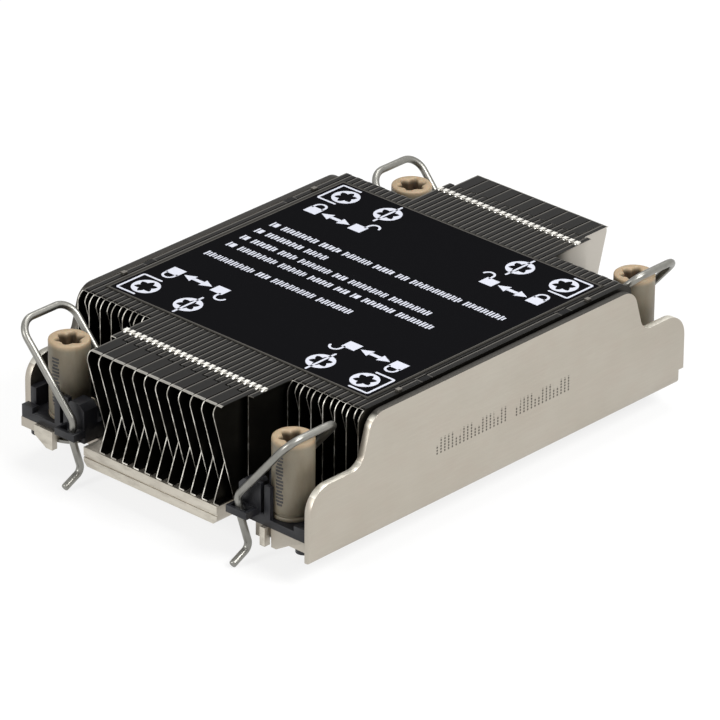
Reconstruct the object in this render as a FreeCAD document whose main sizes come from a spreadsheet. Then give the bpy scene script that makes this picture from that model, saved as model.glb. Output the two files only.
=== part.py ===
import FreeCAD, Part
import math
import os

import Sketcher

from FreeCAD import Placement, Rotation, Vector

# A passive heatsink for a rack server processor.
# X runs across the fins, Y along the airflow, Z up out of the contact face.
# The origin is the centre of the contact face under the base.  All sizes are in millimetres.

doc = FreeCAD.newDocument("heatsink")
sheet = doc.addObject("Spreadsheet::Sheet", "Sizes")

SIZES = [
    # base and side walls
    ("wall_inner_half", 37.5, "centre to the inner face of a side wall"),
    ("wall_thick", 1.5, "thickness of a side wall"),
    ("wall_top", 25.1, "top edge of a side wall over the contact face"),
    ("wall_end_plain", "=base_half_length - 0.5", "centre to the plain end of a side wall"),
    ("wall_end_stepped", "=base_half_length - 1.8", "centre to the right wall's stepped rear end"),
    ("wall_end_left", "=base_half_length - 3.4", "centre to the left wall's stepped front end"),
    ("wall_left_back", 1.1, "how far the left wall's front rise is set back"),
    ("wall_step_depth", 1.4, "how far the foot of the stepped end is set back"),
    ("wall_step_high", 2.9, "height of that step"),
    ("wall_low_top", 15.2, "top of the low ends of a side wall"),
    ("wall_low_start", "=nut_y - 5.8", "centre to where the low end begins"),
    ("wall_full_end", "=nut_y - 14.2", "centre to where the full height ends"),
    ("wall_nose_radius", 5.0, "round on the free corner of a low end"),
    ("wall_foot_radius", 3.3, "hollow round where the low end meets the rise"),
    ("wall_shoulder_radius", 4.0, "round where the rise meets the full height"),
    ("base_half_length", 54.0, "centre to the end of the base tongue"),
    ("base_thick", 3.9, "thickness of the base"),
    ("flange_thick", 2.0, "thickness of the base beside the walls"),
    ("flange_end", "=base_half_length - 0.8", "centre to the end of the flanges"),
    ("tongue_left", 19.8, "centre to the left edge of the tongue"),
    ("tongue_right", 15.4, "centre to the right edge of the tongue"),
    ("tongue_chamfer", 0.9, "break of the tongue's two lower edges"),
    ("wall_foot_round", 1.0, "round under the foot of a side wall"),
    ("pad_half_width", 33.0, "half width of the contact pad"),
    ("pad_half_length", "=nut_y - 7", "half length of the contact pad between the nuts"),
    ("boss_inner", "=nut_x - 1.1", "centre to the inner face of a left corner boss"),
    ("notch_shelf", "=nut_y + 3.6", "centre to the back of the shallow wire notch"),
    ("notch_shelf_start", "=nut_x - 6.2", "centre to the start of the shallow wire notch"),
    ("stub_inner", "=nut_x - 2.9", "centre to the inner face of a right corner stub"),
    ("stub_outer", "=nut_x - 1.6", "centre to the outer face of a right corner stub"),
    ("boss_depth", "=base_half_length - notch_floor", "how far a boss reaches in from the end"),
    ("boss_groove", 0.9, "width of the groove between a stub and its boss"),
    ("boss_outer", "=nut_x + 3.8", "centre to the foot of the outer slope of a boss"),
    ("boss_slope", 3.2, "run of the outer slope of a boss"),
    ("notch_floor", "=nut_y + 1.8", "centre to the back of the deep wire notch"),
    ("seam_width", 0.35, "width of the seam groove round the tongue ends"),
    ("seam_depth", 0.25, "depth of that groove"),
    ("seam_height", 1.75, "height of that groove over the contact face"),
    # fins
    ("fin_thick", 0.22, "thickness of a fin sheet"),
    ("fin_pitch", "=2 * wall_inner_half / 50", "spacing of the fins"),
    ("fin_first", "=wall_inner_half - fin_pitch / 2", "centre to the first fin on the left"),
    ("fin_top", 25.5, "top of the fin stack over the contact face"),
    ("block_half", "=nut_y - 11.6", "centre to the end of the main block's top"),
    ("long_half", "=base_half_length - 0.1", "centre to the end of the long fins' top"),
    ("step_half", "=long_half - 6.5", "centre to where the short centre flanges end"),
    ("nose_reach", 1.3, "how far a fin nose stands out past its top edge"),
    ("side_nose_reach", 1.6, "the same for a slanting side fin"),
    ("upright_nose_reach", 2.0, "the same for an upright side fin"),
    ("nose_drop", 2.0, "depth of a fin nose below the top"),
    ("fold_radius", 0.12, "inner radius of a fin's folds"),
    ("slant_back", 5.5, "how far a slanting fin edge runs back to its foot"),
    ("foot_end", "=base_half_length - 0.3", "centre to the foot of a fin that slants outward"),
    ("foot_lean", 7.6, "how far such a fin leans back up to its nose"),
    ("flange_gap", 0.04, "gap from a flange to the next fin"),
    ("tab_long", 1.1, "length of an interlock tab"),
    ("tab_wide", 0.9, "width of an interlock tab"),
    ("tab_high", 0.35, "height of an interlock tab over the flange"),
    ("tab_centre", "=step_half - 3.5", "centre to the tab row of the centre fins"),
    ("tab_side", "=block_half - 9.8", "centre to the tab row of the side fins"),
    # label
    ("label_half_x", "=wall_inner_half - 3.1", "half width of the top film"),
    ("label_half_y", "=block_half - 3.1", "half length of the top film"),
    ("label_thick", 0.1, "thickness of the top film"),
    # captive nuts
    ("nut_x", "=wall_inner_half - 8.1", "centre to a nut across the fins"),
    ("nut_y", "=base_half_length - 6", "centre to a nut along the fins"),
    ("nut_radius", 4.1, "outer radius of a nut"),
    ("nut_top", 21.6, "top of a nut over the contact face"),
    ("nut_collar_high", 0.8, "height of the collar at the foot of a nut"),
    ("nut_waist", 0.35, "depth of the groove over the collar"),
    ("nut_hub_radius", 3.2, "radius of the hub through the base"),
    ("nut_hub_gap", 0.08, "running gap round the hub"),
    ("nut_bottom", 0.4, "lower end of the hub over the contact face"),
    ("nut_thread_radius", 2.0, "nominal radius of the nut's thread"),
    ("nut_thread_deep", 7.0, "depth of the nut's thread"),
    ("socket_outer", 2.8, "centre to a lobe tip of the driver socket"),
    ("socket_inner", 2.0, "centre to a flute crest of the driver socket"),
    ("socket_deep", 5.5, "depth of the driver socket"),
    ("ring_radius", 4.5, "outer radius of a retaining ring"),
    ("ring_thick", 0.6, "thickness of a retaining ring"),
    ("ring_gap", 0.1, "gap between a ring and the base over it"),
    ("ring_groove", 0.35, "depth of the hub's groove for the ring"),
    # anti-tilt wires
    ("wire_radius", 0.75, "radius of the spring wire"),
    ("wire_bend", 2.2, "bend radius of the wire's centre line at the legs"),
    ("wire_corner", 3.6, "bend radius of the wire's centre line at the grip"),
    ("pivot_x", "=nut_x - 7.8", "centre to a wire's pivot axis"),
    ("pivot_z", 8.9, "pivot axis over the contact face"),
    ("loop_reach", 20.0, "pivot axis to the centre line of the grip"),
    ("loop_lean", 40.5, "lean of the loop outward from upright, in degrees"),
    ("loop_reach_long", 21.7, "the same reach for the front left wire, sprung open a little"),
    ("loop_lean_wide", 42.5, "the same lean for the front left wire, in degrees"),
    ("loop_half", 6.75, "nut axis to the centre line of a leg"),
    ("pin_long", 3.2, "length of the wire's pivot pin"),
    ("pin_gap", 0.06, "running gap round the pivot pin"),
    ("hook_offset", 0.6, "how far the hook leg stands outward of the pivot"),
    ("hook_top", 5.4, "height where the hook leg turns inward"),
    ("hook_knee_in", 2.5, "how far the knee lies inward of the leg"),
    ("hook_knee_z", -2.5, "height of the knee"),
    ("hook_toe_out", 2.1, "how far the toe lies outward of the leg"),
    ("hook_toe_z", -4.7, "height of the toe"),
    # wire retainers
    ("keeper_inner", "=pivot_x - 1.2", "centre to the inboard face of a retainer"),
    ("keeper_wall_gap", 0.2, "gap between a retainer and the side wall"),
    ("keeper_front", "=flange_end", "centre to the outer end of a retainer"),
    ("keeper_back", "=nut_y - 5.7", "centre to the inner end of a retainer"),
    ("keeper_floor", 1.6, "thickness of a retainer's floor"),
    ("tower_width", 4.2, "width of a retainer's towers"),
    ("tower_long", 3.6, "length of the outer tower"),
    ("tower_slope", 1.2, "fall of a tower's top to its inboard edge"),
    ("tower_top", 11.9, "top of the outer tower over the contact face"),
    ("post_long", 2.7, "length of the inner tower"),
    ("screen_thick", 0.95, "thickness of the screen in front of a nut"),
    ("screen_end", "=nut_x - 1", "centre to the outer edge of that screen"),
    ("screen_top", 12.3, "top of the screen over the contact face"),
    ("screen_slot_low", 6.2, "foot of the screen's slot over the contact face"),
    ("screen_rib", 1.5, "width of the rib outside the slot"),
    ("screen_slot", 0.9, "width of the slot"),
    ("post_top", 11.2, "top of the inner tower over the contact face"),
    ("eye_low", 5.5, "lower edge of the wire eye"),
    ("eye_high", 7.0, "upper edge of the wire eye"),
    ("eye_gap", 0.15, "gap between the eye and the wire"),
    ("eye_swing", 1.45, "extra room in the eye for the wire's swing"),
    ("eye_wall", 0.7, "thickness of the eye"),
    ("fence_thick", 1.5, "thickness of the fence beside the side wall"),
    ("fence_top", 9.6, "top of the fence over the contact face"),
    ("peg_x", "=wall_inner_half - 2.6", "centre to a retainer's peg across the fins"),
    ("peg_y", "=nut_y + 2.9", "centre to a retainer's peg along the fins"),
    ("peg_radius", 1.2, "radius of the peg"),
    ("peg_head", 1.6, "radius of the peg's headed end"),
    ("peg_low", 0.5, "lower end of the peg over the contact face"),
]

for row, (alias, value, meaning) in enumerate(SIZES, start=1):
    sheet.set("A%d" % row, alias)
    sheet.set("C%d" % row, meaning)
    sheet.setAlias("B%d" % row, alias)
for row, (alias, value, meaning) in enumerate(SIZES, start=1):
    sheet.set("B%d" % row, str(value))
doc.recompute()


class Values:
    """Reads the sizes from the sheet by their names."""

    def __getattr__(self, name):
        return float(sheet.get(name))


v = Values()


def minus(expression):
    """The same expression with its sign turned."""
    return "-(" + expression + ")"


def signed(sign, expression):
    """An expression for the left or front side where sign is -1."""
    return expression if sign > 0 else minus(expression)


def new_body(label):
    body = doc.addObject("PartDesign::Body", label)
    body.Label = label
    body.AllowCompound = True
    return body


def origin_feature(body, role):
    for feature in body.Origin.OriginFeatures:
        if feature.Role == role:
            return feature
    raise ValueError(role)


def new_sketch(body, name, role, offset=None):
    """A sketch on one of the body's own planes, moved along its normal by an expression."""
    sketch = body.newObject("Sketcher::SketchObject", name)
    sketch.AttachmentSupport = [(origin_feature(body, role), "")]
    sketch.MapMode = "FlatFace"
    if offset is not None:
        sketch.setExpression("AttachmentOffset.Base.z", offset)
    return sketch


def draw_rectangle(sketch, x_low, x_high, y_low, y_high):
    """A rectangle whose two corners are tied to expressions."""
    corners = [Vector(0, 0, 0), Vector(9, 0, 0), Vector(9, 9, 0), Vector(0, 9, 0)]
    for index in range(4):
        sketch.addGeometry(Part.LineSegment(corners[index], corners[(index + 1) % 4]), False)
    for index in range(4):
        sketch.addConstraint(Sketcher.Constraint("Coincident", index, 2, (index + 1) % 4, 1))
    for index, kind in enumerate(("Horizontal", "Vertical", "Horizontal", "Vertical")):
        sketch.addConstraint(Sketcher.Constraint(kind, index))
    ties = (
        ("DistanceX", 0, 1, 1.0, x_low),
        ("DistanceY", 0, 1, 1.0, y_low),
        ("DistanceX", 1, 2, 9.0, x_high),
        ("DistanceY", 1, 2, 9.0, y_high),
    )
    for kind, line, point, start, expression in ties:
        number = sketch.addConstraint(Sketcher.Constraint(kind, -1, 1, line, point, start))
        sketch.setExpression("Constraints[%d]" % number, expression)


def draw_circle(sketch, x_expression, y_expression, radius_expression):
    """A circle whose centre and radius are tied to expressions."""
    sketch.addGeometry(Part.Circle(Vector(1, 1, 0), Vector(0, 0, 1), 1.0), False)
    number = sketch.addConstraint(Sketcher.Constraint("Radius", 0, 1.0))
    sketch.setExpression("Constraints[%d]" % number, radius_expression)
    number = sketch.addConstraint(Sketcher.Constraint("DistanceX", -1, 1, 0, 3, 1.0))
    sketch.setExpression("Constraints[%d]" % number, x_expression)
    number = sketch.addConstraint(Sketcher.Constraint("DistanceY", -1, 1, 0, 3, 1.0))
    sketch.setExpression("Constraints[%d]" % number, y_expression)


def draw_outline(sketch, start, steps):
    """A closed outline.  A step is the next corner, or (middle, end) for an arc."""
    here = Vector(start[0], start[1], 0)
    count = 0
    for step in steps:
        if isinstance(step[0], tuple):
            middle = Vector(step[0][0], step[0][1], 0)
            there = Vector(step[1][0], step[1][1], 0)
            sketch.addGeometry(Part.Arc(here, middle, there), False)
        else:
            there = Vector(step[0], step[1], 0)
            sketch.addGeometry(Part.LineSegment(here, there), False)
        here = there
        count += 1
    first = Vector(start[0], start[1], 0)
    if here.distanceToPoint(first) > 1e-6:
        sketch.addGeometry(Part.LineSegment(here, first), False)


def extrude(body, sketch, name, length, cut=False, reversed_way=False):
    """A pad or a pocket of the sketch over a length given as an expression."""
    kind = "PartDesign::Pocket" if cut else "PartDesign::Pad"
    feature = body.newObject(kind, name)
    feature.Profile = sketch
    feature.Length = 1.0
    feature.setExpression("Length", length)
    feature.Reversed = reversed_way
    sketch.Visibility = False
    return feature


def block(body, name, x_range, y_range, z_range, cut=False):
    """A rectangular pad or pocket between pairs of expressions."""
    sketch = new_sketch(body, name + "_sketch", "XY_Plane", z_range[0])
    draw_rectangle(sketch, x_range[0], x_range[1], y_range[0], y_range[1])
    length = "(" + z_range[1] + ") - (" + z_range[0] + ")"
    return extrude(body, sketch, name, length, cut, reversed_way=cut)


def round_boss(body, name, centre, radius, z_range, cut=False):
    """A round pad or pocket between two heights."""
    sketch = new_sketch(body, name + "_sketch", "XY_Plane", z_range[0])
    draw_circle(sketch, centre[0], centre[1], radius)
    length = "(" + z_range[1] + ") - (" + z_range[0] + ")"
    return extrude(body, sketch, name, length, cut, reversed_way=cut)


def wall_rise():
    """Angle of the straight part of the rise between its two rounds."""
    run = v.wall_low_start - v.wall_full_end
    rise = v.wall_top - v.wall_low_top
    both = v.wall_foot_radius + v.wall_shoulder_radius
    straight = math.sqrt(run ** 2 + (both - rise) ** 2 - both ** 2)
    angle = math.atan2(run, both - rise) - math.atan2(straight, both)
    return angle


def wall_end_steps(side, end, angle, back=0.0):
    """Corners of one end of a side wall, from the full height down to its low free corner."""
    foot = v.wall_foot_radius
    shoulder = v.wall_shoulder_radius
    nose = v.wall_nose_radius
    top = v.wall_top
    low = v.wall_low_top
    diagonal = math.sqrt(0.5)

    def on_shoulder(turn):
        return (side * (v.wall_full_end - back + shoulder * math.sin(turn)),
                top - shoulder * (1 - math.cos(turn)))

    def on_foot(turn):
        return (side * (v.wall_low_start - back - foot * math.sin(turn)),
                low + foot * (1 - math.cos(turn)))

    return [
        (side * (v.wall_full_end - back), top),
        (on_shoulder(angle / 2), on_shoulder(angle)),
        on_foot(angle),
        (on_foot(angle / 2), (side * (v.wall_low_start - back), low)),
        (side * (end - nose), low),
        ((side * (end - nose + nose * diagonal), low - nose + nose * diagonal),
         (side * end, low - nose)),
    ]


def mirrored_back(steps):
    """The same corners walked the other way round."""
    points = []
    for step in steps:
        if isinstance(step[0], tuple):
            points.append((step[0], step[1]))
        else:
            points.append((None, step))
    back = []
    for index in range(len(points) - 1, 0, -1):
        middle = points[index][0]
        there = points[index - 1][1]
        back.append(there if middle is None else (middle, there))
    return points[-1][1], back


def add_side_wall(body, name, side):
    """One side wall: its stepped end is at the rear on the right and at the front on the left."""
    angle = wall_rise()
    stepped = v.wall_end_stepped if side > 0 else v.wall_end_left
    plain = v.wall_end_plain
    set_back = 0.0 if side > 0 else v.wall_left_back
    down = wall_end_steps(side, stepped, angle, set_back)
    start, climb = mirrored_back(wall_end_steps(-side, plain, angle))
    steps = climb + down
    steps.append((side * stepped, v.wall_step_high))
    steps.append((side * (stepped - v.wall_step_depth), v.wall_step_high))
    steps.append((side * (stepped - v.wall_step_depth), 0.0))
    steps.append((-side * plain, 0.0))
    sketch = new_sketch(body, name + "_sketch", "YZ_Plane",
                        "Sizes.wall_inner_half" if side > 0
                        else "-Sizes.wall_inner_half - Sizes.wall_thick")
    draw_outline(sketch, start, steps)
    return extrude(body, sketch, name, "Sizes.wall_thick")


def build_base():
    """The base and its side walls, one piece of nickel-plated metal."""
    body = new_body("base")
    inner = "Sizes.wall_inner_half"
    under = "Sizes.base_thick - Sizes.flange_thick"
    block(body, "flange", (minus(inner), inner),
          ("-Sizes.flange_end", "Sizes.flange_end"), (under, "Sizes.base_thick"))
    add_tongue(body)
    block(body, "contact_pad", ("-Sizes.pad_half_width", "Sizes.pad_half_width"),
          ("-Sizes.pad_half_length", "Sizes.pad_half_length"), ("0", under))
    add_side_wall(body, "right_wall", 1)
    add_side_wall(body, "left_wall", -1)
    for side, name in ((1, "right"), (-1, "left")):
        round_wall_foot(body, name + "_foot_round", side)
    for side_x, side_y, corner in CORNERS:
        add_boss(body, side_x, side_y, corner)
    for side_x, side_y, corner in CORNERS:
        add_corner_cuts(body, side_x, side_y, corner)
    for side_y, end in ((-1, "front"), (1, "rear")):
        face = signed(side_y, "Sizes.base_half_length")
        back = signed(side_y, "(Sizes.base_half_length - Sizes.seam_depth)")
        block(body, end + "_seam", ("-Sizes.tongue_left", "Sizes.tongue_right"), (back, face),
              ("Sizes.seam_height", "Sizes.seam_height + Sizes.seam_width"), cut=True)
    return body


def add_tongue(body):
    """The thick middle of the base, which runs out to both ends under the long fins."""
    chamfer = v.tongue_chamfer
    sketch = new_sketch(body, "tongue_sketch", "XZ_Plane", "-Sizes.base_half_length")
    draw_outline(sketch, (-v.tongue_left, v.base_thick), [
        (-v.tongue_left, chamfer),
        (-v.tongue_left + chamfer, 0.0),
        (v.tongue_right - chamfer, 0.0),
        (v.tongue_right, chamfer),
        (v.tongue_right, v.base_thick),
    ])
    return extrude(body, sketch, "tongue", "2 * Sizes.base_half_length")


def round_wall_foot(body, name, side):
    """Rounds the outer edge under a side wall."""
    face = v.wall_inner_half + v.wall_thick
    radius = v.wall_foot_round
    inward = radius * (1 - math.sqrt(0.5))
    sketch = new_sketch(body, name + "_sketch", "XZ_Plane", "-Sizes.base_half_length - 1")
    draw_outline(sketch, (side * (face + 1), -1.0), [
        (side * (face - radius), -1.0),
        (side * (face - radius), 0.0),
        ((side * (face - inward), inward), (side * face, radius)),
        (side * (face + 1), radius),
    ])
    return extrude(body, sketch, name, "2 * Sizes.base_half_length + 2", cut=True,
                   reversed_way=True)


def add_boss(body, side_x, side_y, corner):
    """The thick block beside a wire notch, sloping up to the flange on its outer side."""
    outer = v.boss_outer
    inner = v.boss_inner if side_x < 0 else v.stub_outer + v.boss_groove
    low = (side_x * (outer - v.boss_slope), 0.0)
    under = v.base_thick - v.flange_thick
    front = "Sizes.base_half_length" if side_x < 0 else "Sizes.flange_end"
    sketch = new_sketch(body, corner + "_boss_sketch", "XZ_Plane",
                        minus(signed(side_y, front)))
    draw_outline(sketch, (side_x * inner, 0.0), [
        low,
        (side_x * outer, under),
        (side_x * outer, v.base_thick),
        (side_x * inner, v.base_thick),
    ])
    extrude(body, sketch, corner + "_boss", "Sizes.boss_depth", reversed_way=side_y < 0)
    if side_x > 0:
        ends = ("Sizes.notch_floor", "Sizes.base_half_length")
        near = (signed(side_y, ends[0]), signed(side_y, ends[1]))
        block(body, corner + "_stub", ("Sizes.notch_shelf_start", "Sizes.stub_outer"), near,
              ("0", "Sizes.base_thick"))
        low_bridge = "Sizes.base_thick - Sizes.flange_thick"
        block(body, corner + "_stub_bridge", ("Sizes.stub_outer", "Sizes.stub_outer + Sizes.boss_groove"),
              (near[0], signed(side_y, "(Sizes.flange_end - Sizes.boss_groove)")),
              ("0", low_bridge))


def add_corner_cuts(body, side_x, side_y, corner):
    """The wire notch and the holes for the nut's hub and the retainer's peg."""
    tongue = "Sizes.tongue_left" if side_x < 0 else "Sizes.tongue_right"
    end = signed(side_y, "(Sizes.base_half_length + 1)")
    deep = signed(side_y, "Sizes.notch_floor")
    top = ("0", "Sizes.base_thick")
    far = "Sizes.boss_inner" if side_x < 0 else "Sizes.notch_shelf_start"
    block(body, corner + "_notch", (signed(side_x, tongue), signed(side_x, far)), (deep, end),
          top, cut=True)
    if side_x > 0:
        shelf = signed(side_y, "Sizes.notch_shelf")
        block(body, corner + "_shelf", ("Sizes.notch_shelf_start", "Sizes.stub_inner"),
              (shelf, end), top, cut=True)
        block(body, corner + "_groove",
              ("Sizes.stub_outer", "Sizes.stub_outer + Sizes.boss_groove"),
              (signed(side_y, "(Sizes.flange_end - Sizes.boss_groove)"), end), top, cut=True)
    nut = (signed(side_x, "Sizes.nut_x"), signed(side_y, "Sizes.nut_y"))
    round_boss(body, corner + "_hub_hole", nut, "Sizes.nut_hub_radius + Sizes.nut_hub_gap",
               top, cut=True)
    round_boss(body, corner + "_ring_room", nut, "Sizes.ring_radius + 0.3",
               ("0", "Sizes.base_thick - Sizes.flange_thick"), cut=True)
    peg = (signed(side_x, "Sizes.peg_x"), signed(side_y, "Sizes.peg_y"))
    round_boss(body, corner + "_peg_hole", peg, "Sizes.peg_radius", top, cut=True)


def fin_web(kind):
    """Half outline of a fin's web: foot and nose corners on its positive Y side."""
    foot = v.base_thick
    top = v.fin_top
    drop = v.nose_drop
    if kind == "upright":
        end = v.block_half
        nose = end + v.upright_nose_reach
        toe = nose
    elif kind == "slanted":
        end = v.block_half
        nose = end + v.side_nose_reach
        toe = nose - v.slant_back
    elif kind == "long":
        end = v.long_half
        nose = end + v.nose_reach
        toe = nose - v.slant_back
    elif kind == "footed":
        end = v.step_half - 0.3
        nose = v.foot_end - v.foot_lean
        toe = v.foot_end
    else:
        end = v.step_half
        nose = end
        toe = end
    bulge = end + (0.8 if kind in ("long", "footed") else 0.68) * (nose - end)
    return end, (bulge, top - 0.4 * drop), (nose, top - drop), (toe, foot)


def fold_section(kind, alone, wide_top):
    """Section of a folded fin across the airflow: foot, fold, web, fold and top flange."""
    thick = v.fin_thick
    low = v.base_thick
    top = v.fin_top
    if alone:
        return (0.0, low), [(thick, low), (thick, top), (0.0, top)]
    inner = v.fold_radius
    outer = inner + thick
    narrow = v.fin_pitch - v.flange_gap
    reach = 2 * v.fin_pitch - v.flange_gap if wide_top else narrow
    bow_out = outer * (1 - math.sqrt(0.5))
    bow_in = inner * (1 - math.sqrt(0.5))
    return (narrow, low), [
        (narrow, low + thick),
        (outer, low + thick),
        ((thick + bow_in, low + thick + bow_in), (thick, low + outer)),
        (thick, top - outer),
        ((thick + bow_in, top - thick - bow_in), (outer, top - thick)),
        (reach, top - thick),
        (reach, top),
        (outer, top),
        ((bow_out, top - bow_out), (0.0, top - outer)),
        (0.0, low + outer),
        ((bow_out, low + bow_out), (outer, low)),
    ]


def build_fins(label, places, kind):
    """One fin sheet, or two alike with another fin between them, folded at top and bottom."""
    body = new_body(label)
    first, count = int(places.split()[0]), len(places.split())
    end, bulge, nose, toe = fin_web(kind)
    alone = first == FIN_COUNT - 1
    wide_top = kind == "long" and label != LAST_LONG
    far = max(nose[0], toe[0]) + 1
    section = new_sketch(body, label + "_section", "XZ_Plane")
    start, steps = fold_section(kind, alone, wide_top)
    draw_outline(section, start, steps)
    sheet_run = extrude(body, section, label + "_sheet", "2 * (Sizes.base_half_length + 4)")
    sheet_run.Midplane = True
    features = [sheet_run]
    for side, name in ((1, "rear"), (-1, "front")):
        profile = new_sketch(body, label + "_" + name + "_profile", "YZ_Plane",
                             "-2 * Sizes.fin_pitch")
        below = v.base_thick - 1
        above = v.fin_top + 1
        beyond = v.base_half_length + 6
        top_run = [(side * end, v.fin_top)]
        if kind != "edge":
            top_run.append(((side * bulge[0], bulge[1]), (side * nose[0], nose[1])))
        draw_outline(profile, (side * end, above), top_run + [
            (side * toe[0], toe[1]),
            (side * toe[0], below),
            (side * beyond, below),
            (side * beyond, above),
        ])
        features.append(extrude(body, profile, label + "_" + name + "_end",
                                "6 * Sizes.fin_pitch", cut=True, reversed_way=True))
    if wide_top:
        features.append(block(
            body, label + "_step",
            ("Sizes.fin_pitch - Sizes.flange_gap", "2 * Sizes.fin_pitch"),
            ("-Sizes.step_half", "Sizes.step_half"),
            ("Sizes.fin_top - Sizes.fin_thick - 0.1", "Sizes.fin_top + 0.1"), cut=True))
    if kind in ("long", "footed", "edge"):
        features += add_tabs(body, label, "Sizes.tab_centre")
    elif label in SIDE_TABS:
        features += add_tabs(body, label, "Sizes.tab_side")
    if count > 1:
        pattern = body.newObject("PartDesign::LinearPattern", label + "_pair")
        pattern.Originals = features
        pattern.Direction = (origin_feature(body, "X_Axis"), [""])
        pattern.setExpression("Length", "2 * Sizes.fin_pitch")
        pattern.Occurrences = count
        body.Tip = pattern
    body.setExpression("Placement.Base.x",
                       "-Sizes.fin_first - Sizes.fin_thick / 2 + %d * Sizes.fin_pitch" % first)
    return body


def add_tabs(body, label, centre):
    """The raised interlock tabs near both ends of a fin's top flange."""
    tabs = []
    for side_y, end in ((-1, "front"), (1, "rear")):
        middle = signed(side_y, centre)
        tabs.append(block(
            body, label + "_" + end + "_tab",
            ("Sizes.fin_pitch / 2 + Sizes.fin_thick / 2 - Sizes.tab_wide / 2",
             "Sizes.fin_pitch / 2 + Sizes.fin_thick / 2 + Sizes.tab_wide / 2"),
            (middle + " - Sizes.tab_long / 2", middle + " + Sizes.tab_long / 2"),
            ("Sizes.fin_top", "Sizes.fin_top + Sizes.tab_high")))
    return tabs


def build_label():
    """The thin printed film on top of the main block."""
    body = new_body("label")
    block(body, "film", ("-Sizes.label_half_x", "Sizes.label_half_x"),
          ("-Sizes.label_half_y", "Sizes.label_half_y"),
          ("Sizes.fin_top", "Sizes.fin_top + Sizes.label_thick"))
    return body


def build_nut(side_x, side_y, corner):
    """A captive nut: tall plastic body, driver socket on top, thread from below."""
    body = new_body(corner + "_nut")
    floor = v.base_thick + v.keeper_floor
    groove_low = v.base_thick - v.flange_thick - v.ring_gap - v.ring_thick - 0.1
    groove_high = v.base_thick - v.flange_thick - v.ring_gap + 0.1
    hub = v.nut_hub_radius
    neck = hub - v.ring_groove
    body_radius = v.nut_radius
    collar = floor + v.nut_collar_high
    waist = body_radius - v.nut_waist
    turned = new_sketch(body, corner + "_nut_profile", "XZ_Plane")
    draw_outline(turned, (0.0, v.nut_bottom), [
        (hub - 0.4, v.nut_bottom),
        (hub, v.nut_bottom + 0.4),
        (hub, groove_low),
        (neck, groove_low),
        (neck, groove_high),
        (hub, groove_high),
        (hub, floor),
        (body_radius - 0.15, floor),
        (body_radius - 0.15, collar),
        (waist, collar),
        (waist, collar + 0.5),
        (body_radius, collar + 0.5),
        (body_radius, v.nut_top - 0.35),
        (body_radius - 0.35, v.nut_top),
        (0.0, v.nut_top),
    ])
    turning = body.newObject("PartDesign::Revolution", corner + "_nut_turning")
    turning.Profile = turned
    turning.ReferenceAxis = (turned, ["V_Axis"])
    turning.Angle = 360.0
    turned.Visibility = False
    socket = new_sketch(body, corner + "_socket_sketch", "XY_Plane", "Sizes.nut_top")
    draw_socket(socket)
    extrude(body, socket, corner + "_socket", "Sizes.socket_deep", cut=True)
    thread = new_sketch(body, corner + "_thread_sketch", "XY_Plane", "Sizes.nut_bottom")
    draw_circle(thread, "0", "0", "Sizes.nut_thread_radius")
    extrude(body, thread, corner + "_thread", "Sizes.nut_thread_deep", cut=True,
            reversed_way=True)
    body.setExpression("Placement.Base.x", signed(side_x, "Sizes.nut_x"))
    body.setExpression("Placement.Base.y", signed(side_y, "Sizes.nut_y"))
    return body


def draw_socket(sketch):
    """A six-lobed socket: a lobe tip, then a flute crest, half a lobe apart."""
    def at(radius, lobes):
        turn = 2 * math.pi * lobes / LOBE_COUNT
        return (radius * math.cos(turn), radius * math.sin(turn))

    outer = v.socket_outer
    inner = v.socket_inner
    between = 0.52 * outer + 0.48 * inner
    steps = []
    for lobe in range(LOBE_COUNT):
        steps.append((at(outer, lobe), at(between, lobe + 1 / 4)))
        steps.append((at(inner, lobe + 1 / 2), at(between, lobe + 3 / 4)))
    draw_outline(sketch, at(between, -1 / 4), steps)


def build_ring(side_x, side_y, corner):
    """The retaining ring in the groove of a nut's hub, under the base."""
    body = new_body(corner + "_nut_ring")
    centre = (signed(side_x, "Sizes.nut_x"), signed(side_y, "Sizes.nut_y"))
    low = "Sizes.base_thick - Sizes.flange_thick - Sizes.ring_gap - Sizes.ring_thick"
    high = "Sizes.base_thick - Sizes.flange_thick - Sizes.ring_gap"
    round_boss(body, corner + "_ring_disc", centre, "Sizes.ring_radius", (low, high))
    round_boss(body, corner + "_ring_hole", centre,
               "Sizes.nut_hub_radius - Sizes.ring_groove + 0.02", (low, high), cut=True)
    return body


def bent_wire(points, bends, radius):
    """A round wire along straight runs joined by tangent arcs."""
    edges = []
    here = points[0]
    for index in range(1, len(points) - 1):
        corner = points[index]
        back = (points[index - 1] - corner).normalize()
        onward = (points[index + 1] - corner).normalize()
        half = back.getAngle(onward) / 2
        reach = bends[index - 1] / math.tan(half)
        into = corner + back * reach
        out = corner + onward * reach
        to_centre = (back + onward).normalize()
        centre = corner + to_centre * (bends[index - 1] / math.sin(half))
        middle = centre - to_centre * bends[index - 1]
        edges.append(Part.LineSegment(here, into).toShape())
        edges.append(Part.Arc(into, middle, out).toShape())
        here = out
    edges.append(Part.LineSegment(here, points[-1]).toShape())
    path = Part.Wire(edges)
    ring = Part.Circle(points[0], points[1] - points[0], radius).toShape()
    return path.makePipeShell([Part.Wire([ring])], True, True)


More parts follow.
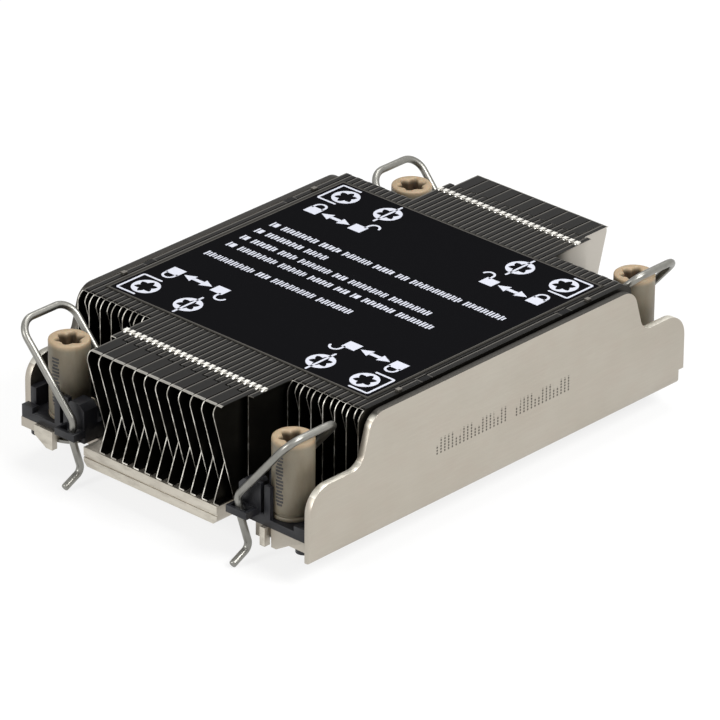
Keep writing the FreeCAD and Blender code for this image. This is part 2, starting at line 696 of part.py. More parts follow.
def build_wire(side_x, side_y, corner):
    """An anti-tilt wire: hook, leg, grip over the nut, second leg and pivot pin."""
    sprung = corner == "front_left"
    lean = math.radians(v.loop_lean_wide if sprung else v.loop_lean)
    reach = v.loop_reach_long if sprung else v.loop_reach
    outer_leg = v.nut_y + v.loop_half
    inner_leg = v.nut_y - v.loop_half
    hook_x = v.pivot_x + v.hook_offset
    grip_x = v.pivot_x + reach * math.sin(lean)
    grip_z = v.pivot_z + reach * math.cos(lean)

    def at(x, y, z):
        return Vector(side_x * x, side_y * y, z)

    points = [
        at(hook_x, outer_leg + v.hook_toe_out, v.hook_toe_z),
        at(hook_x, outer_leg - v.hook_knee_in, v.hook_knee_z),
        at(hook_x, outer_leg, v.hook_top),
        at(v.pivot_x, outer_leg, v.pivot_z),
        at(grip_x, outer_leg, grip_z),
        at(grip_x, inner_leg, grip_z),
        at(v.pivot_x, inner_leg, v.pivot_z),
        at(v.pivot_x, inner_leg + v.pin_long, v.pivot_z),
    ]
    small = v.wire_bend * 0.75
    bends = [small, v.wire_bend, v.wire_bend, v.wire_corner, v.wire_corner,
             v.wire_radius * 1.5]
    feature = doc.addObject("Part::Feature", corner + "_wire")
    feature.Label = corner + "_wire"
    feature.Shape = bent_wire(points, bends, v.wire_radius)
    return feature


def build_keeper(side_x, side_y, corner):
    """The black plastic retainer that holds a nut and its wire at one corner."""
    body = new_body(corner + "_keeper")

    def part_of(name, x_range, y_range, z_range, cut=False):
        xs = (signed(side_x, x_range[0]), signed(side_x, x_range[1]))
        ys = (signed(side_y, y_range[0]), signed(side_y, y_range[1]))
        return block(body, corner + "_" + name, xs, ys, z_range, cut)

    inboard = "Sizes.keeper_inner"
    outboard = "(Sizes.wall_inner_half - Sizes.keeper_wall_gap)"
    front = "Sizes.keeper_front"
    back = "Sizes.keeper_back"
    seat = "Sizes.base_thick"
    floor = "(Sizes.base_thick + Sizes.keeper_floor)"
    tower = "(Sizes.keeper_inner + Sizes.tower_width)"
    wire_out = "(Sizes.nut_y + Sizes.loop_half + Sizes.wire_radius + Sizes.eye_gap)"
    wire_in = "(Sizes.nut_y + Sizes.loop_half - Sizes.wire_radius - 2.5 * Sizes.eye_gap)"
    slot_low = "(Sizes.pivot_x - Sizes.wire_radius - Sizes.eye_gap)"
    slot_high = ("(Sizes.pivot_x + Sizes.hook_offset + Sizes.wire_radius"
                 " + Sizes.eye_gap + Sizes.eye_swing)")
    part_of("floor", (inboard, outboard), (back, front), (seat, floor))
    screen_out = "(Sizes.screen_end)"
    slot_out = "(Sizes.screen_end - Sizes.screen_rib)"
    slot_in = "(Sizes.screen_end - Sizes.screen_rib - Sizes.screen_slot)"
    sloped_tower(body, corner + "_tower", side_x, side_y, front, "Sizes.tower_long",
                 v.tower_top)
    sloped_tower(body, corner + "_post", side_x, side_y,
                 "(Sizes.keeper_back + Sizes.post_long)", "Sizes.post_long", v.post_top)
    part_of("screen", (tower, screen_out), ("(Sizes.keeper_front - Sizes.screen_thick)", front),
            (floor, "Sizes.screen_top"))
    part_of("screen_slot", (slot_in, slot_out),
            ("(Sizes.keeper_front - Sizes.screen_thick)", front),
            ("Sizes.screen_slot_low", "Sizes.screen_top"), cut=True)
    part_of("spine", (inboard, "(Sizes.keeper_inner + 1.2)"),
            ("(Sizes.keeper_back + 1)", "(Sizes.keeper_front - 1)"),
            (floor, "Sizes.pivot_z - 1.6"))
    part_of("fence", ("(Sizes.wall_inner_half - Sizes.keeper_wall_gap - Sizes.fence_thick)",
                      outboard),
            ("(Sizes.keeper_back + 1.2)", "(Sizes.keeper_front - 2.4)"),
            (floor, "Sizes.fence_top"))
    part_of("corner_block",
            ("(Sizes.wall_inner_half - Sizes.keeper_wall_gap - 1.9 * Sizes.fence_thick)",
             outboard), ("(Sizes.keeper_front - 1.8)", front),
            (floor, "(Sizes.fence_top - 3)"))
    part_of("eye", ("(" + slot_low + " - Sizes.eye_wall)",
                    "(" + slot_high + " + Sizes.eye_wall)"),
            (front, "(" + wire_out + " + Sizes.eye_wall)"), ("Sizes.eye_low", "Sizes.eye_high"))
    part_of("eye_slot", (slot_low, slot_high), (wire_in, wire_out),
            ("Sizes.eye_low", "Sizes.eye_high"), cut=True)
    nut = (signed(side_x, "Sizes.nut_x"), signed(side_y, "Sizes.nut_y"))
    peg = (signed(side_x, "Sizes.peg_x"), signed(side_y, "Sizes.peg_y"))
    under = "Sizes.base_thick - Sizes.flange_thick"
    round_boss(body, corner + "_hub_hole", nut, "Sizes.nut_hub_radius + Sizes.nut_hub_gap",
               (seat, floor), cut=True)
    round_boss(body, corner + "_peg", peg, "Sizes.peg_radius", ("Sizes.peg_low", seat))
    round_boss(body, corner + "_peg_head", peg, "Sizes.peg_head", ("Sizes.peg_low", under))
    pin_sketch = new_sketch(body, corner + "_pin_sketch", "XZ_Plane",
                            minus(signed(side_y, "(Sizes.keeper_back - 1)")))
    draw_circle(pin_sketch, signed(side_x, "Sizes.pivot_x"), "Sizes.pivot_z",
                "Sizes.wire_radius + Sizes.pin_gap")
    extrude(body, pin_sketch, corner + "_pin_hole", "Sizes.post_long + 2", cut=True,
            reversed_way=side_y < 0)
    return body


def sloped_tower(body, name, side_x, side_y, front, length, top):
    """A tower of a retainer, its top falling to both sides, run inward from its outer face."""
    inner = v.keeper_inner
    outer = v.keeper_inner + v.tower_width
    floor = v.base_thick + v.keeper_floor
    sketch = new_sketch(body, name + "_sketch", "XZ_Plane", minus(signed(side_y, front)))
    draw_outline(sketch, (side_x * inner, floor), [
        (side_x * inner, top - v.tower_slope),
        (side_x * (inner + v.tower_slope), top),
        (side_x * (outer - v.tower_slope / 2), top),
        (side_x * outer, top - v.tower_slope / 2),
        (side_x * outer, floor),
    ])
    return extrude(body, sketch, name, length, reversed_way=side_y < 0)


CORNERS = [(-1, -1, "front_left"), (1, -1, "front_right"),
           (-1, 1, "rear_left"), (1, 1, "rear_right")]
FIN_COUNT = 50
LOBE_COUNT = 6
LAST_LONG = "centre_long_fin_7"
SIDE_TABS = ("left_end_fin", "right_slanted_fin_4")
# label, the places of its fins counted from the left, and their kind
FIN_GROUPS = [
    ("left_end_fin", "0", "upright"),
    ("left_slanted_fins_1", "1 3", "slanted"),
    ("left_upright_fins_1", "2 4", "upright"),
    ("left_slanted_fins_2", "5 7", "slanted"),
    ("left_upright_fins_2", "6 8", "upright"),
    ("left_slanted_fins_3", "9 11", "slanted"),
    ("left_upright_fin_3", "10", "upright"),
    ("centre_left_fin", "12", "edge"),
    ("centre_long_fins_1", "13 15", "long"),
    ("centre_footed_fins_1", "14 16", "footed"),
    ("centre_long_fins_2", "17 19", "long"),
    ("centre_footed_fins_2", "18 20", "footed"),
    ("centre_long_fins_3", "21 23", "long"),
    ("centre_footed_fins_3", "22 24", "footed"),
    ("centre_long_fins_4", "25 27", "long"),
    ("centre_footed_fins_4", "26 28", "footed"),
    ("centre_long_fins_5", "29 31", "long"),
    ("centre_footed_fins_5", "30 32", "footed"),
    ("centre_long_fin_6", "33", "long"),
    ("centre_footed_fin_6", "34", "footed"),
    ("centre_long_fin_7", "35", "long"),
    ("centre_right_fin", "36", "edge"),
    ("right_upright_fins_1", "37 39", "upright"),
    ("right_slanted_fins_1", "38 40", "slanted"),
    ("right_upright_fins_2", "41 43", "upright"),
    ("right_slanted_fins_2", "42 44", "slanted"),
    ("right_upright_fins_3", "45 47", "upright"),
    ("right_slanted_fin_3", "46", "slanted"),
    ("right_slanted_fin_4", "48", "slanted"),
    ("right_end_fin", "49", "upright"),
]


def build_all():
    pieces = [build_base(), build_label()]
    for label, places, kind in FIN_GROUPS:
        pieces.append(build_fins(label, places, kind))
    for side_x, side_y, corner in CORNERS:
        pieces.append(build_nut(side_x, side_y, corner))
        pieces.append(build_ring(side_x, side_y, corner))
        pieces.append(build_wire(side_x, side_y, corner))
        pieces.append(build_keeper(side_x, side_y, corner))
    return pieces


def check_and_export(pieces):
    """Stops on any failed object or bad shape, then writes one file for each piece."""
    for item in doc.Objects:
        if "Invalid" in item.State or "Error" in item.State:
            raise RuntimeError("%s is in state %s" % (item.Label, item.State))
    for piece in pieces:
        if piece.Shape.isNull() or not piece.Shape.isValid() or not piece.Shape.Solids:
            raise RuntimeError(piece.Label + " has no good shape")
    os.makedirs("parts", exist_ok=True)
    for piece in pieces:
        piece.Shape.exportStep("parts/" + piece.Label + ".step")
        print("%-24s solids %2d volume %10.2f" % (
            piece.Label, len(piece.Shape.Solids), piece.Shape.Volume))


parts = build_all()
doc.recompute()
check_and_export(parts)
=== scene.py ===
"""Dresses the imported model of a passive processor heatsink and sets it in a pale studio.

Every length that is written as a plain number here is in millimetres; MM turns it into metres.
X runs across the fins, Y along the airflow, Z up out of the contact face.
"""

import logging
import math
from dataclasses import dataclass
from enum import Enum
from typing import Callable, Optional, Sequence, Union

import bmesh
import bpy
import numpy as np
from mathutils import Matrix, Vector

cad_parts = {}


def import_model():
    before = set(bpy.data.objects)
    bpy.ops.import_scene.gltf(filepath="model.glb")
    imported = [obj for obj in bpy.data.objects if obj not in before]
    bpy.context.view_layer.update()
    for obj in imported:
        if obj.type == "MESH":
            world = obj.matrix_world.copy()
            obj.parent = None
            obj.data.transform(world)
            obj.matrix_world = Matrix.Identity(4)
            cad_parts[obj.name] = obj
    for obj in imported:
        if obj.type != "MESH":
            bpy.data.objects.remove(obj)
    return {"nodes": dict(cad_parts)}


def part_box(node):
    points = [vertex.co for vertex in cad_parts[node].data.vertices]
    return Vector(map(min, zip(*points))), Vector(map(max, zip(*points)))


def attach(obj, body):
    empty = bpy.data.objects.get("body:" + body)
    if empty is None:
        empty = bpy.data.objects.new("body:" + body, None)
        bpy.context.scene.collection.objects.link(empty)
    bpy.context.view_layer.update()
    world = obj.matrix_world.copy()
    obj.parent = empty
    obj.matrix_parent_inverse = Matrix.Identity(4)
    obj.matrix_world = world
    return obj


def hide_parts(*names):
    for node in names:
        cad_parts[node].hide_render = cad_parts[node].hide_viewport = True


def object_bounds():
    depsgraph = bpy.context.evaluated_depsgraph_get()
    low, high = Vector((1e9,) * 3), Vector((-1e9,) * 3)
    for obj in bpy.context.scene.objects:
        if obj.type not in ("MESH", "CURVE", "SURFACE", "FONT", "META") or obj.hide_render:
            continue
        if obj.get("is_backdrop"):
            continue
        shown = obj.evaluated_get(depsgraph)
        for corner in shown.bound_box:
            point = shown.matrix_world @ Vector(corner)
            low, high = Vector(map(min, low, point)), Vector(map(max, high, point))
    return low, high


LOG = logging.getLogger("heatsink")
MM = 0.001

Colour = tuple[float, float, float]
Number = Union[int, float, "Scalar"]


# ---- shader maths


class Scalar:
    """One number of a material that varies over the surface; operators add Math nodes."""

    def __init__(self, graph: "Graph", socket: bpy.types.NodeSocket) -> None:
        """Wraps a socket of a graph."""
        self.graph = graph
        self.socket = socket

    def _join(self, operation: str, first: Number, second: Number) -> "Scalar":
        """Adds one Math node with this operation and these two values."""
        socket = self.graph.node("ShaderNodeMath", {"operation": operation}, {0: first, 1: second})
        return Scalar(self.graph, socket)

    def __add__(self, other: Number) -> "Scalar":
        """Sum."""
        return self._join("ADD", self, other)

    __radd__ = __add__

    def __sub__(self, other: Number) -> "Scalar":
        """Difference."""
        return self._join("SUBTRACT", self, other)

    def __rsub__(self, other: Number) -> "Scalar":
        """Difference from a number."""
        return self._join("SUBTRACT", other, self)

    def __mul__(self, other: Number) -> "Scalar":
        """Product."""
        return self._join("MULTIPLY", self, other)

    __rmul__ = __mul__

    def __truediv__(self, other: Number) -> "Scalar":
        """Quotient."""
        return self._join("DIVIDE", self, other)

    def __neg__(self) -> "Scalar":
        """The value with its sign turned."""
        return self._join("MULTIPLY", self, -1.0)

    def __abs__(self) -> "Scalar":
        """The value without its sign."""
        return self._join("ABSOLUTE", self, 0.0)

    def __gt__(self, other: Number) -> "Scalar":
        """1 where the value is greater, else 0."""
        return self._join("GREATER_THAN", self, other)

    def __lt__(self, other: Number) -> "Scalar":
        """1 where the value is less, else 0."""
        return self._join("LESS_THAN", self, other)

    def least(self, other: Number) -> "Scalar":
        """The smaller of two values."""
        return self._join("MINIMUM", self, other)

    def most(self, other: Number) -> "Scalar":
        """The larger of two values."""
        return self._join("MAXIMUM", self, other)

    def repeat(self, period: float) -> "Scalar":
        """The distance to the nearest whole multiple of a period."""
        return self._join("PINGPONG", self, period / 2)

    def ramp(self, low: float, high: float) -> "Scalar":
        """0 below one value and 1 above another, smooth between; high may be the smaller one."""
        socket = self.graph.node(
            "ShaderNodeMapRange", {"interpolation_type": "SMOOTHSTEP", "clamp": True},
            {"Value": self, "From Min": low, "From Max": high})
        return Scalar(self.graph, socket)


class Graph:
    """The nodes of one material."""

    def __init__(self, name: str) -> None:
        """Makes an empty material of this name."""
        self.material = bpy.data.materials.new(name)
        self.material.use_nodes = True
        self.tree = self.material.node_tree
        self.tree.nodes.clear()

    def node(self, kind: str, settings: Optional[dict] = None, inputs: Optional[dict] = None,
             output: Union[int, str] = 0) -> Optional[bpy.types.NodeSocket]:
        """Adds one node.

        Args:
            kind: The node's type name.
            settings: Attributes that are set before anything is joined.
            inputs: Sockets by name or number, each with a number, a colour or a link.
            output: The socket that is given back.

        Returns:
            The chosen output socket, or none for a node that only takes.
        """
        made = self.tree.nodes.new(kind)
        for key, value in (settings or {}).items():
            setattr(made, key, value)
        for key, value in (inputs or {}).items():
            self.join(made.inputs[key], value)
        return made.outputs[output] if len(made.outputs) else None

    def join(self, socket: bpy.types.NodeSocket, value: object) -> None:
        """Links or sets one input socket."""
        if isinstance(value, Scalar):
            self.tree.links.new(value.socket, socket)
        elif isinstance(value, bpy.types.NodeSocket):
            self.tree.links.new(value, socket)
        elif isinstance(value, tuple) and len(value) == 3 and socket.type == "RGBA":
            socket.default_value = (*value, 1.0)
        else:
            socket.default_value = value

    def place(self) -> bpy.types.NodeSocket:
        """The point on the piece, in metres."""
        return self.node("ShaderNodeTexCoord", output="Object")

    def place_mm(self) -> tuple[Scalar, Scalar, Scalar]:
        """The point on the piece as three numbers in millimetres."""
        scaled = self.node("ShaderNodeVectorMath", {"operation": "SCALE"},
                           {0: self.place(), "Scale": 1 / MM})
        return self.parts(scaled)

    def facing(self) -> tuple[Scalar, Scalar, Scalar]:
        """The face's normal as three numbers."""
        return self.parts(self.node("ShaderNodeNewGeometry", output="True Normal"))

    def parts(self, vector: bpy.types.NodeSocket) -> tuple[Scalar, Scalar, Scalar]:
        """A vector's three numbers."""
        split = self.tree.nodes.new("ShaderNodeSeparateXYZ")
        self.tree.links.new(vector, split.inputs[0])
        return tuple(Scalar(self, out) for out in split.outputs)

    def noise(self, per_mm: float, detail: float = 2.0, rough: float = 0.5,
              stretch: tuple[float, float, float] = (1.0, 1.0, 1.0)) -> Scalar:
        """Soft noise on the piece.

        Args:
            per_mm: Features to the millimetre.
            detail: Octaves.
            rough: Weight of the fine octaves.
            stretch: Scale along X, Y and Z; a small number draws the pattern out along that axis.

        Returns:
            A value about 0.5.
        """
        spread = self.node("ShaderNodeMapping", None, {"Vector": self.place(), "Scale": stretch})
        return Scalar(self, self.node(
            "ShaderNodeTexNoise", None,
            {"Vector": spread, "Scale": per_mm / MM, "Detail": detail, "Roughness": rough}))

    def mix(self, factor: Number, first: object, second: object) -> bpy.types.NodeSocket:
        """A colour between two colours.

        Args:
            factor: 0 gives the first colour and 1 the second.
            first: A colour or a link to one.
            second: A colour or a link to one.

        Returns:
            The mixed colour's socket.
        """
        made = self.tree.nodes.new("ShaderNodeMix")
        made.data_type = "RGBA"
        for index, value in ((0, factor), (6, first), (7, second)):
            self.join(made.inputs[index], value)
        return made.outputs[2]

    def relief(self, height: Scalar, depth_mm: float,
               strength: float = 1.0) -> bpy.types.NodeSocket:
        """A bump of so many millimetres from a height of 0 to 1."""
        return self.node("ShaderNodeBump", None,
                         {"Strength": strength, "Distance": depth_mm * MM, "Height": height},
                         output="Normal")

    def finish(self, inputs: dict) -> bpy.types.Material:
        """Closes the material with one Principled shader.

        Args:
            inputs: The shader's sockets.

        Returns:
            The material.
        """
        shader = self.node("ShaderNodeBsdfPrincipled", None, inputs)
        self.node("ShaderNodeOutputMaterial", None, {"Surface": shader})
        return self.material


# ---- finishes


@dataclass(frozen=True)
class PlatedMetal:
    """Satin nickel plate over a milled base, with drawn lines along the airflow.

    The walls' inner faces and top edges and the left wall's upper ends carry painted shade, faces
    that look up lower down carry a painted highlight, and the right wall's outer face carries a
    dotted row of plain upright marks.
    """

    name: str = "plated_metal"
    tint: Colour = (0.47, 0.435, 0.375)
    bright: Colour = (0.80, 0.77, 0.68)
    dull: Colour = (0.22, 0.19, 0.155)
    stain: Colour = (0.45, 0.39, 0.335)
    cloudy: Colour = (0.42, 0.38, 0.32)
    shade: Colour = (0.035, 0.032, 0.028)
    cut_end: float = 53.65
    fin_room_low: float = 4.2
    inner_face: float = 37.5
    outer_face: float = 39.0
    marks_y: tuple[float, float] = (-19.0, 18.6)
    marks_gap: tuple[float, float] = (1.7, 1.35)
    marks_z: tuple[float, float] = (10.3, 13.5)
    mark_step: float = 1.06
    dot_step: float = 0.62
    tall_step: float = 5.6
    tall_more: float = 1.3

    def make(self) -> bpy.types.Material:
        """Builds the material."""
        graph = Graph(self.name)
        x, y, z = graph.place_mm()
        facing_x, facing_y, facing_z = graph.facing()
        drawn = graph.noise(3.6, 3.0, 0.55, (1.0, 0.05, 1.0))
        cloud = graph.noise(0.06, 3.0, 0.55)
        stain = graph.noise(0.17, 4.0, 0.6, (1.0, 1.0, 1.6))
        speck = graph.noise(3.2, 3.0, 0.7)
        colour = graph.mix(cloud.ramp(0.3, 0.75) * 0.5, self.tint, self.cloudy)
        colour = graph.mix(stain.ramp(0.42, 0.72) * 0.3, colour, self.stain)
        colour = graph.mix(drawn.ramp(0.35, 0.75) * 0.05, colour, self.bright)
        cut_face = (abs(y) > self.cut_end) * (abs(facing_y) > 0.8)
        cut_marks = graph.noise(0.55, 4.0, 0.65, (0.5, 1.0, 1.6))
        colour = graph.mix(cut_face * 0.35, colour, self.bright)
        colour = graph.mix(cut_face * cut_marks.ramp(0.4, 0.7) * 0.3, colour, self.dull)
        # Painted highlight: faces that look up, above the foot, are lightened towards the bright
        # colour.
        colour = graph.mix((facing_z > 0.7) * (z > 8.0) * 0.8, colour, self.bright)
        # Painted shade on the walls' inner faces, standing in for the dark fins they reflect.
        within = (abs(x) < self.inner_face + 0.1) * (abs(facing_x) > 0.7) * (z > self.fin_room_low)
        colour = graph.mix(within * 0.62, colour, self.shade)
        # Painted shade on the top faces, standing in for the dark they reflect.
        colour = graph.mix(facing_z.ramp(0.35, 0.8) * z.ramp(24.0, 24.8) * 0.95, colour,
                           self.shade)
        # Painted shade on the left wall's upper part.
        rise = (x < 0) * (abs(facing_x) < 0.6) * z.ramp(12.0, 17.0)
        colour = graph.mix(rise * 0.85, colour, self.shade)
        run = y - self.marks_y[0]
        tall = (run.repeat(self.tall_step) > 0.9) * self.tall_more
        dashes = ((run.repeat(self.mark_step) < 0.19)
                  * ((z - self.marks_z[0] - 0.2).repeat(self.dot_step) < 0.2))
        marks = (dashes * (run > -0.2) * (y < self.marks_y[1]) * (x > self.outer_face - 0.1)
                 * (abs(y - self.marks_gap[0]) > self.marks_gap[1])
                 * (z > self.marks_z[0]) * (z < self.marks_z[1] - self.tall_more + tall))
        # The dotted marks are print, in the same dark colour as the painted shade.
        colour = graph.mix(marks * 0.85, colour, self.shade)
        rough = 0.38 + cloud * 0.1 + drawn * 0.03 + cut_face * 0.1
        height = drawn * 0.4 + speck * 0.6
        return graph.finish({
            "Base Color": colour, "Metallic": 1.0, "Roughness": rough,
            "Normal": graph.relief(height, 0.006, 0.5)})


@dataclass(frozen=True)
class FinSheet:
    """Thin folded sheet: dark polished flats, light cut edges and fine fold lines.

    The flats' dark colour ends at the folds, which carry a thin painted highlight, as do the outer
    rims and the slots' edges; the open side of the last fins at the right rear is painted lit, the
    tabs' tops carry a painted highlight, and a dark slot beside each side tab is painted where the
    sheet is pierced, a painted shade where the mesh has no hole.
    """

    name: str = "fin_sheet"
    flat: Colour = (0.0095, 0.0088, 0.0076)
    flat_drawn: Colour = (0.02, 0.0185, 0.016)
    web: Colour = (0.045, 0.042, 0.036)
    web_cloudy: Colour = (0.028, 0.026, 0.022)
    hole: Colour = (0.001, 0.001, 0.001)
    lit_side: Colour = (0.52, 0.49, 0.44)
    rim: Colour = (0.36, 0.34, 0.3)
    edge: Colour = (0.82, 0.79, 0.72)
    edge_dull: Colour = (0.36, 0.34, 0.30)
    fold: Colour = (0.15, 0.14, 0.125)
    tab: Colour = (0.95, 0.93, 0.87)
    dim_tab: Colour = (0.22, 0.205, 0.18)
    slot_at: tuple[float, float] = (36.2, 19.6)
    slot_half: tuple[float, float] = (1.1, 1.35)
    pitch: float = 1.5
    first: float = -36.75
    rim_x: float = 37.25
    short_end: float = 47.4
    long_end: float = 53.9
    open_x: tuple[float, float] = (14.2, 20.0)
    open_y: tuple[float, float] = (38.0, 43.0)
    side_tabs_past: float = 25.0
    top: float = 25.5

    def make(self) -> bpy.types.Material:
        """Builds the material."""
        graph = Graph(self.name)
        x, y, z = graph.place_mm()
        facing_x, facing_y, facing_z = graph.facing()
        drawn = graph.noise(4.0, 3.0, 0.6, (1.0, 0.04, 1.0))
        cloud = graph.noise(0.09, 3.0, 0.6)
        upward = (facing_z > 0.5) * (z > self.top - 0.2)
        sideways = abs(facing_x) > 0.7
        cut_edge = (1 - upward).least(1 - sideways) * (abs(facing_y) > 0.35)
        colour = graph.mix(cloud.ramp(0.3, 0.7), self.web, self.web_cloudy)
        # Painted light: the open side of the last fins at the right rear is painted lit.
        open_side = ((x > self.open_x[0]) * (x < self.open_x[1]) * facing_x.ramp(0.6, 0.9)
                     * y.ramp(*self.open_y))
        colour = graph.mix(open_side, colour, self.lit_side)
        flat = graph.mix(drawn.ramp(0.4, 0.8) * 0.6, self.flat, self.flat_drawn)
        run = x - self.first - self.pitch * 0.18
        near_fold = run.repeat(self.pitch).ramp(0.21, 0.11)
        far_fold = (run - self.pitch).repeat(2 * self.pitch).ramp(0.21, 0.11)
        beyond = abs(y) > self.short_end
        line = near_fold * (1 - beyond) + far_fold * beyond
        rim = (abs(x) - self.rim_x).ramp(-0.3, -0.1)
        # Painted highlight: thin light lines along the folds, then along the outermost flanges'
        # rim.
        flat = graph.mix(line * (0.55 + cloud * 0.9), flat, self.fold)
        flat = graph.mix(rim, flat, self.rim)
        flat = graph.mix((abs(y) > self.long_end - 0.05) * 0.45, flat, self.edge)
        aside = abs(abs(x) - self.slot_at[0]) - self.slot_half[0]
        along = abs(abs(y) - self.slot_at[1]) - self.slot_half[1]
        within = aside.most(along)
        # Painted highlight round each slot's edge, and painted shade inside the slot, where the
        # mesh has no hole.
        flat = graph.mix(within < 0.16, flat, self.fold)
        flat = graph.mix(within < 0, flat, self.hole)
        colour = graph.mix(upward, colour, flat)
        # Painted glints: noise lightens the cut edges in spots.
        glint = graph.noise(0.55, 2.0, 0.5)
        edge = graph.mix(glint.ramp(0.4, 0.62), self.edge_dull, self.edge)
        colour = graph.mix(cut_edge, colour, edge)
        # Painted highlight on the tabs' tops: bright on the centre tabs, dimmer on the side tabs.
        tab = graph.mix(abs(x) > self.side_tabs_past, self.tab, self.dim_tab)
        colour = graph.mix(z > self.top + 0.03, colour, tab)
        rough = 0.3 + drawn * 0.12 + cloud * 0.08
        return graph.finish({
            "Base Color": colour, "Metallic": 1.0, "Roughness": rough,
            "Normal": graph.relief(drawn, 0.006, 0.5)})


@dataclass(frozen=True)
class BlackFilm:
    """Matt black film with a thin pale line round its rim."""

    name: str = "black_film"
    black: Colour = (0.0008, 0.0008, 0.0014)
    fibrous: Colour = (0.0026, 0.0026, 0.0034)
    dusty: Colour = (0.06, 0.06, 0.07)
    clear: Colour = (0.035, 0.033, 0.029)
    rim: Colour = (0.11, 0.105, 0.095)
    half_x: float = 34.4
    half_y: float = 33.3
    border: float = 0.5

    def make(self) -> bpy.types.Material:
        """Builds the material."""
        graph = Graph(self.name)
        x, y, _ = graph.place_mm()
        inset = (self.half_x - abs(x)).least(self.half_y - abs(y))
        fibre = graph.noise(0.8, 4.0, 0.6)
        dust = graph.noise(2.6, 2.0, 0.5).ramp(0.72, 0.80)
        colour = graph.mix(fibre.ramp(0.3, 0.8) * 0.4, self.black, self.fibrous)
        colour = graph.mix(dust * 0.12, colour, self.dusty)
        line = (inset - self.border).ramp(-0.14, -0.04) * (inset - self.border).ramp(0.14, 0.04)
        colour = graph.mix(inset < self.border, colour, self.clear)
        colour = graph.mix(line * 0.8, colour, self.rim)
        return graph.finish({
            "Base Color": colour, "Roughness": 0.55 + fibre * 0.14, "Specular IOR Level": 0.02,
            "Normal": graph.relief(fibre, 0.01, 0.35)})


@dataclass(frozen=True)
class Speckled:
    """A finish of one colour that fades to a second one in small patches.

    The grain is its features to the millimetre, octaves and roughness; the patches start and end
    at these values of it; roughness and relief each have a start or depth and a share of it.
    """

    name: str
    tint: Colour
    worn: Colour
    grain: tuple[float, float, float]
    patch: tuple[float, float]
    share: float
    rough: tuple[float, float]
    relief: tuple[float, float]
    metallic: float = 0.0

    def make(self) -> bpy.types.Material:
        """Builds the material."""
        graph = Graph(self.name)
        grain = graph.noise(*self.grain)
        colour = graph.mix(grain.ramp(*self.patch) * self.share, self.tint, self.worn)
        return graph.finish({
            "Base Color": colour, "Metallic": self.metallic,
            "Roughness": self.rough[0] + grain * self.rough[1],
            "Normal": graph.relief(grain, *self.relief)})


# Near-white metal for the interlock tabs: a painted highlight.
BRIGHT_TAB = Speckled("bright_tab", (0.98, 0.96, 0.91), (0.78, 0.74, 0.66), (1.6, 2.0, 0.5),
                      (0.35, 0.7), 0.35, (0.22, 0.14), (0.01, 0.4), 1.0)
PALE_INK = Speckled("pale_ink", (0.53, 0.545, 0.61), (0.43, 0.445, 0.52), (3.0, 3.0, 0.6),
                    (0.35, 0.7), 0.4, (0.55, 0.15), (0.006, 0.5))
DARK_INK = Speckled("dark_ink", (0.02, 0.02, 0.024), (0.11, 0.10, 0.085), (4.0, 3.0, 0.6),
                    (0.35, 0.8), 0.6, (0.6, 0.2), (0.004, 0.4))


@dataclass(frozen=True)
class NutPlastic:
    """Beige engineering plastic, with painted shade down inside the driver socket and a painted
    highlight at the top rim.
    """

    name: str = "nut_plastic"
    beige: Colour = (0.155, 0.134, 0.096)
    brown: Colour = (0.105, 0.084, 0.054)
    rim: Colour = (0.38, 0.275, 0.165)
    pit: Colour = (0.10, 0.065, 0.033)
    socket_shade: Colour = (0.055, 0.034, 0.017)
    top: float = 21.6
    at: tuple[float, float] = (29.4, 48.0)
    socket: float = 3.0

    def make(self) -> bpy.types.Material:
        """Builds the material."""
        graph = Graph(self.name)
        x, y, z = graph.place_mm()
        off_x = abs(x) - self.at[0]
        off_y = abs(y) - self.at[1]
        inside = (off_x * off_x + off_y * off_y < self.socket ** 2) * (z > 8.0)
        flow = graph.noise(0.5, 3.0, 0.55, (1.0, 1.0, 0.35))
        grain = graph.noise(3.5, 3.0, 0.6)
        colour = graph.mix(flow.ramp(0.3, 0.75) * 0.6, self.beige, self.brown)
        # Painted highlight: lighter and warmer towards the top rim.
        colour = graph.mix(z.ramp(self.top - 1.3, self.top - 0.1) * 0.75, colour, self.rim)
        colour = graph.mix(grain.ramp(0.5, 0.8) * 0.2, colour, self.pit)
        # Painted shade, darker further down inside the driver socket.
        colour = graph.mix(inside * z.ramp(self.top - 0.1, self.top - 1.2), colour, self.socket_shade)
        return graph.finish({
            "Base Color": colour, "Roughness": 0.42 + grain * 0.16,
            "Subsurface Weight": 0.08, "Subsurface Scale": 0.0006,
            "Normal": graph.relief(grain, 0.012, 0.5)})


@dataclass(frozen=True)
class KeeperPlastic:
    """Black moulded nylon with a soft sheen."""

    name: str = "keeper_plastic"
    black: Colour = (0.005, 0.005, 0.0065)
    grey: Colour = (0.0115, 0.012, 0.0155)

    def make(self) -> bpy.types.Material:
        """Builds the material."""
        graph = Graph(self.name)
        flow = graph.noise(0.35, 3.0, 0.6)
        grain = graph.noise(4.5, 3.0, 0.65)
        colour = graph.mix(flow.ramp(0.3, 0.7) * 0.6, self.black, self.grey)
        return graph.finish({
            "Base Color": colour, "Roughness": 0.30 + grain * 0.16 + flow * 0.06,
            "Specular IOR Level": 0.36,
            "Normal": graph.relief(grain, 0.012, 0.6)})


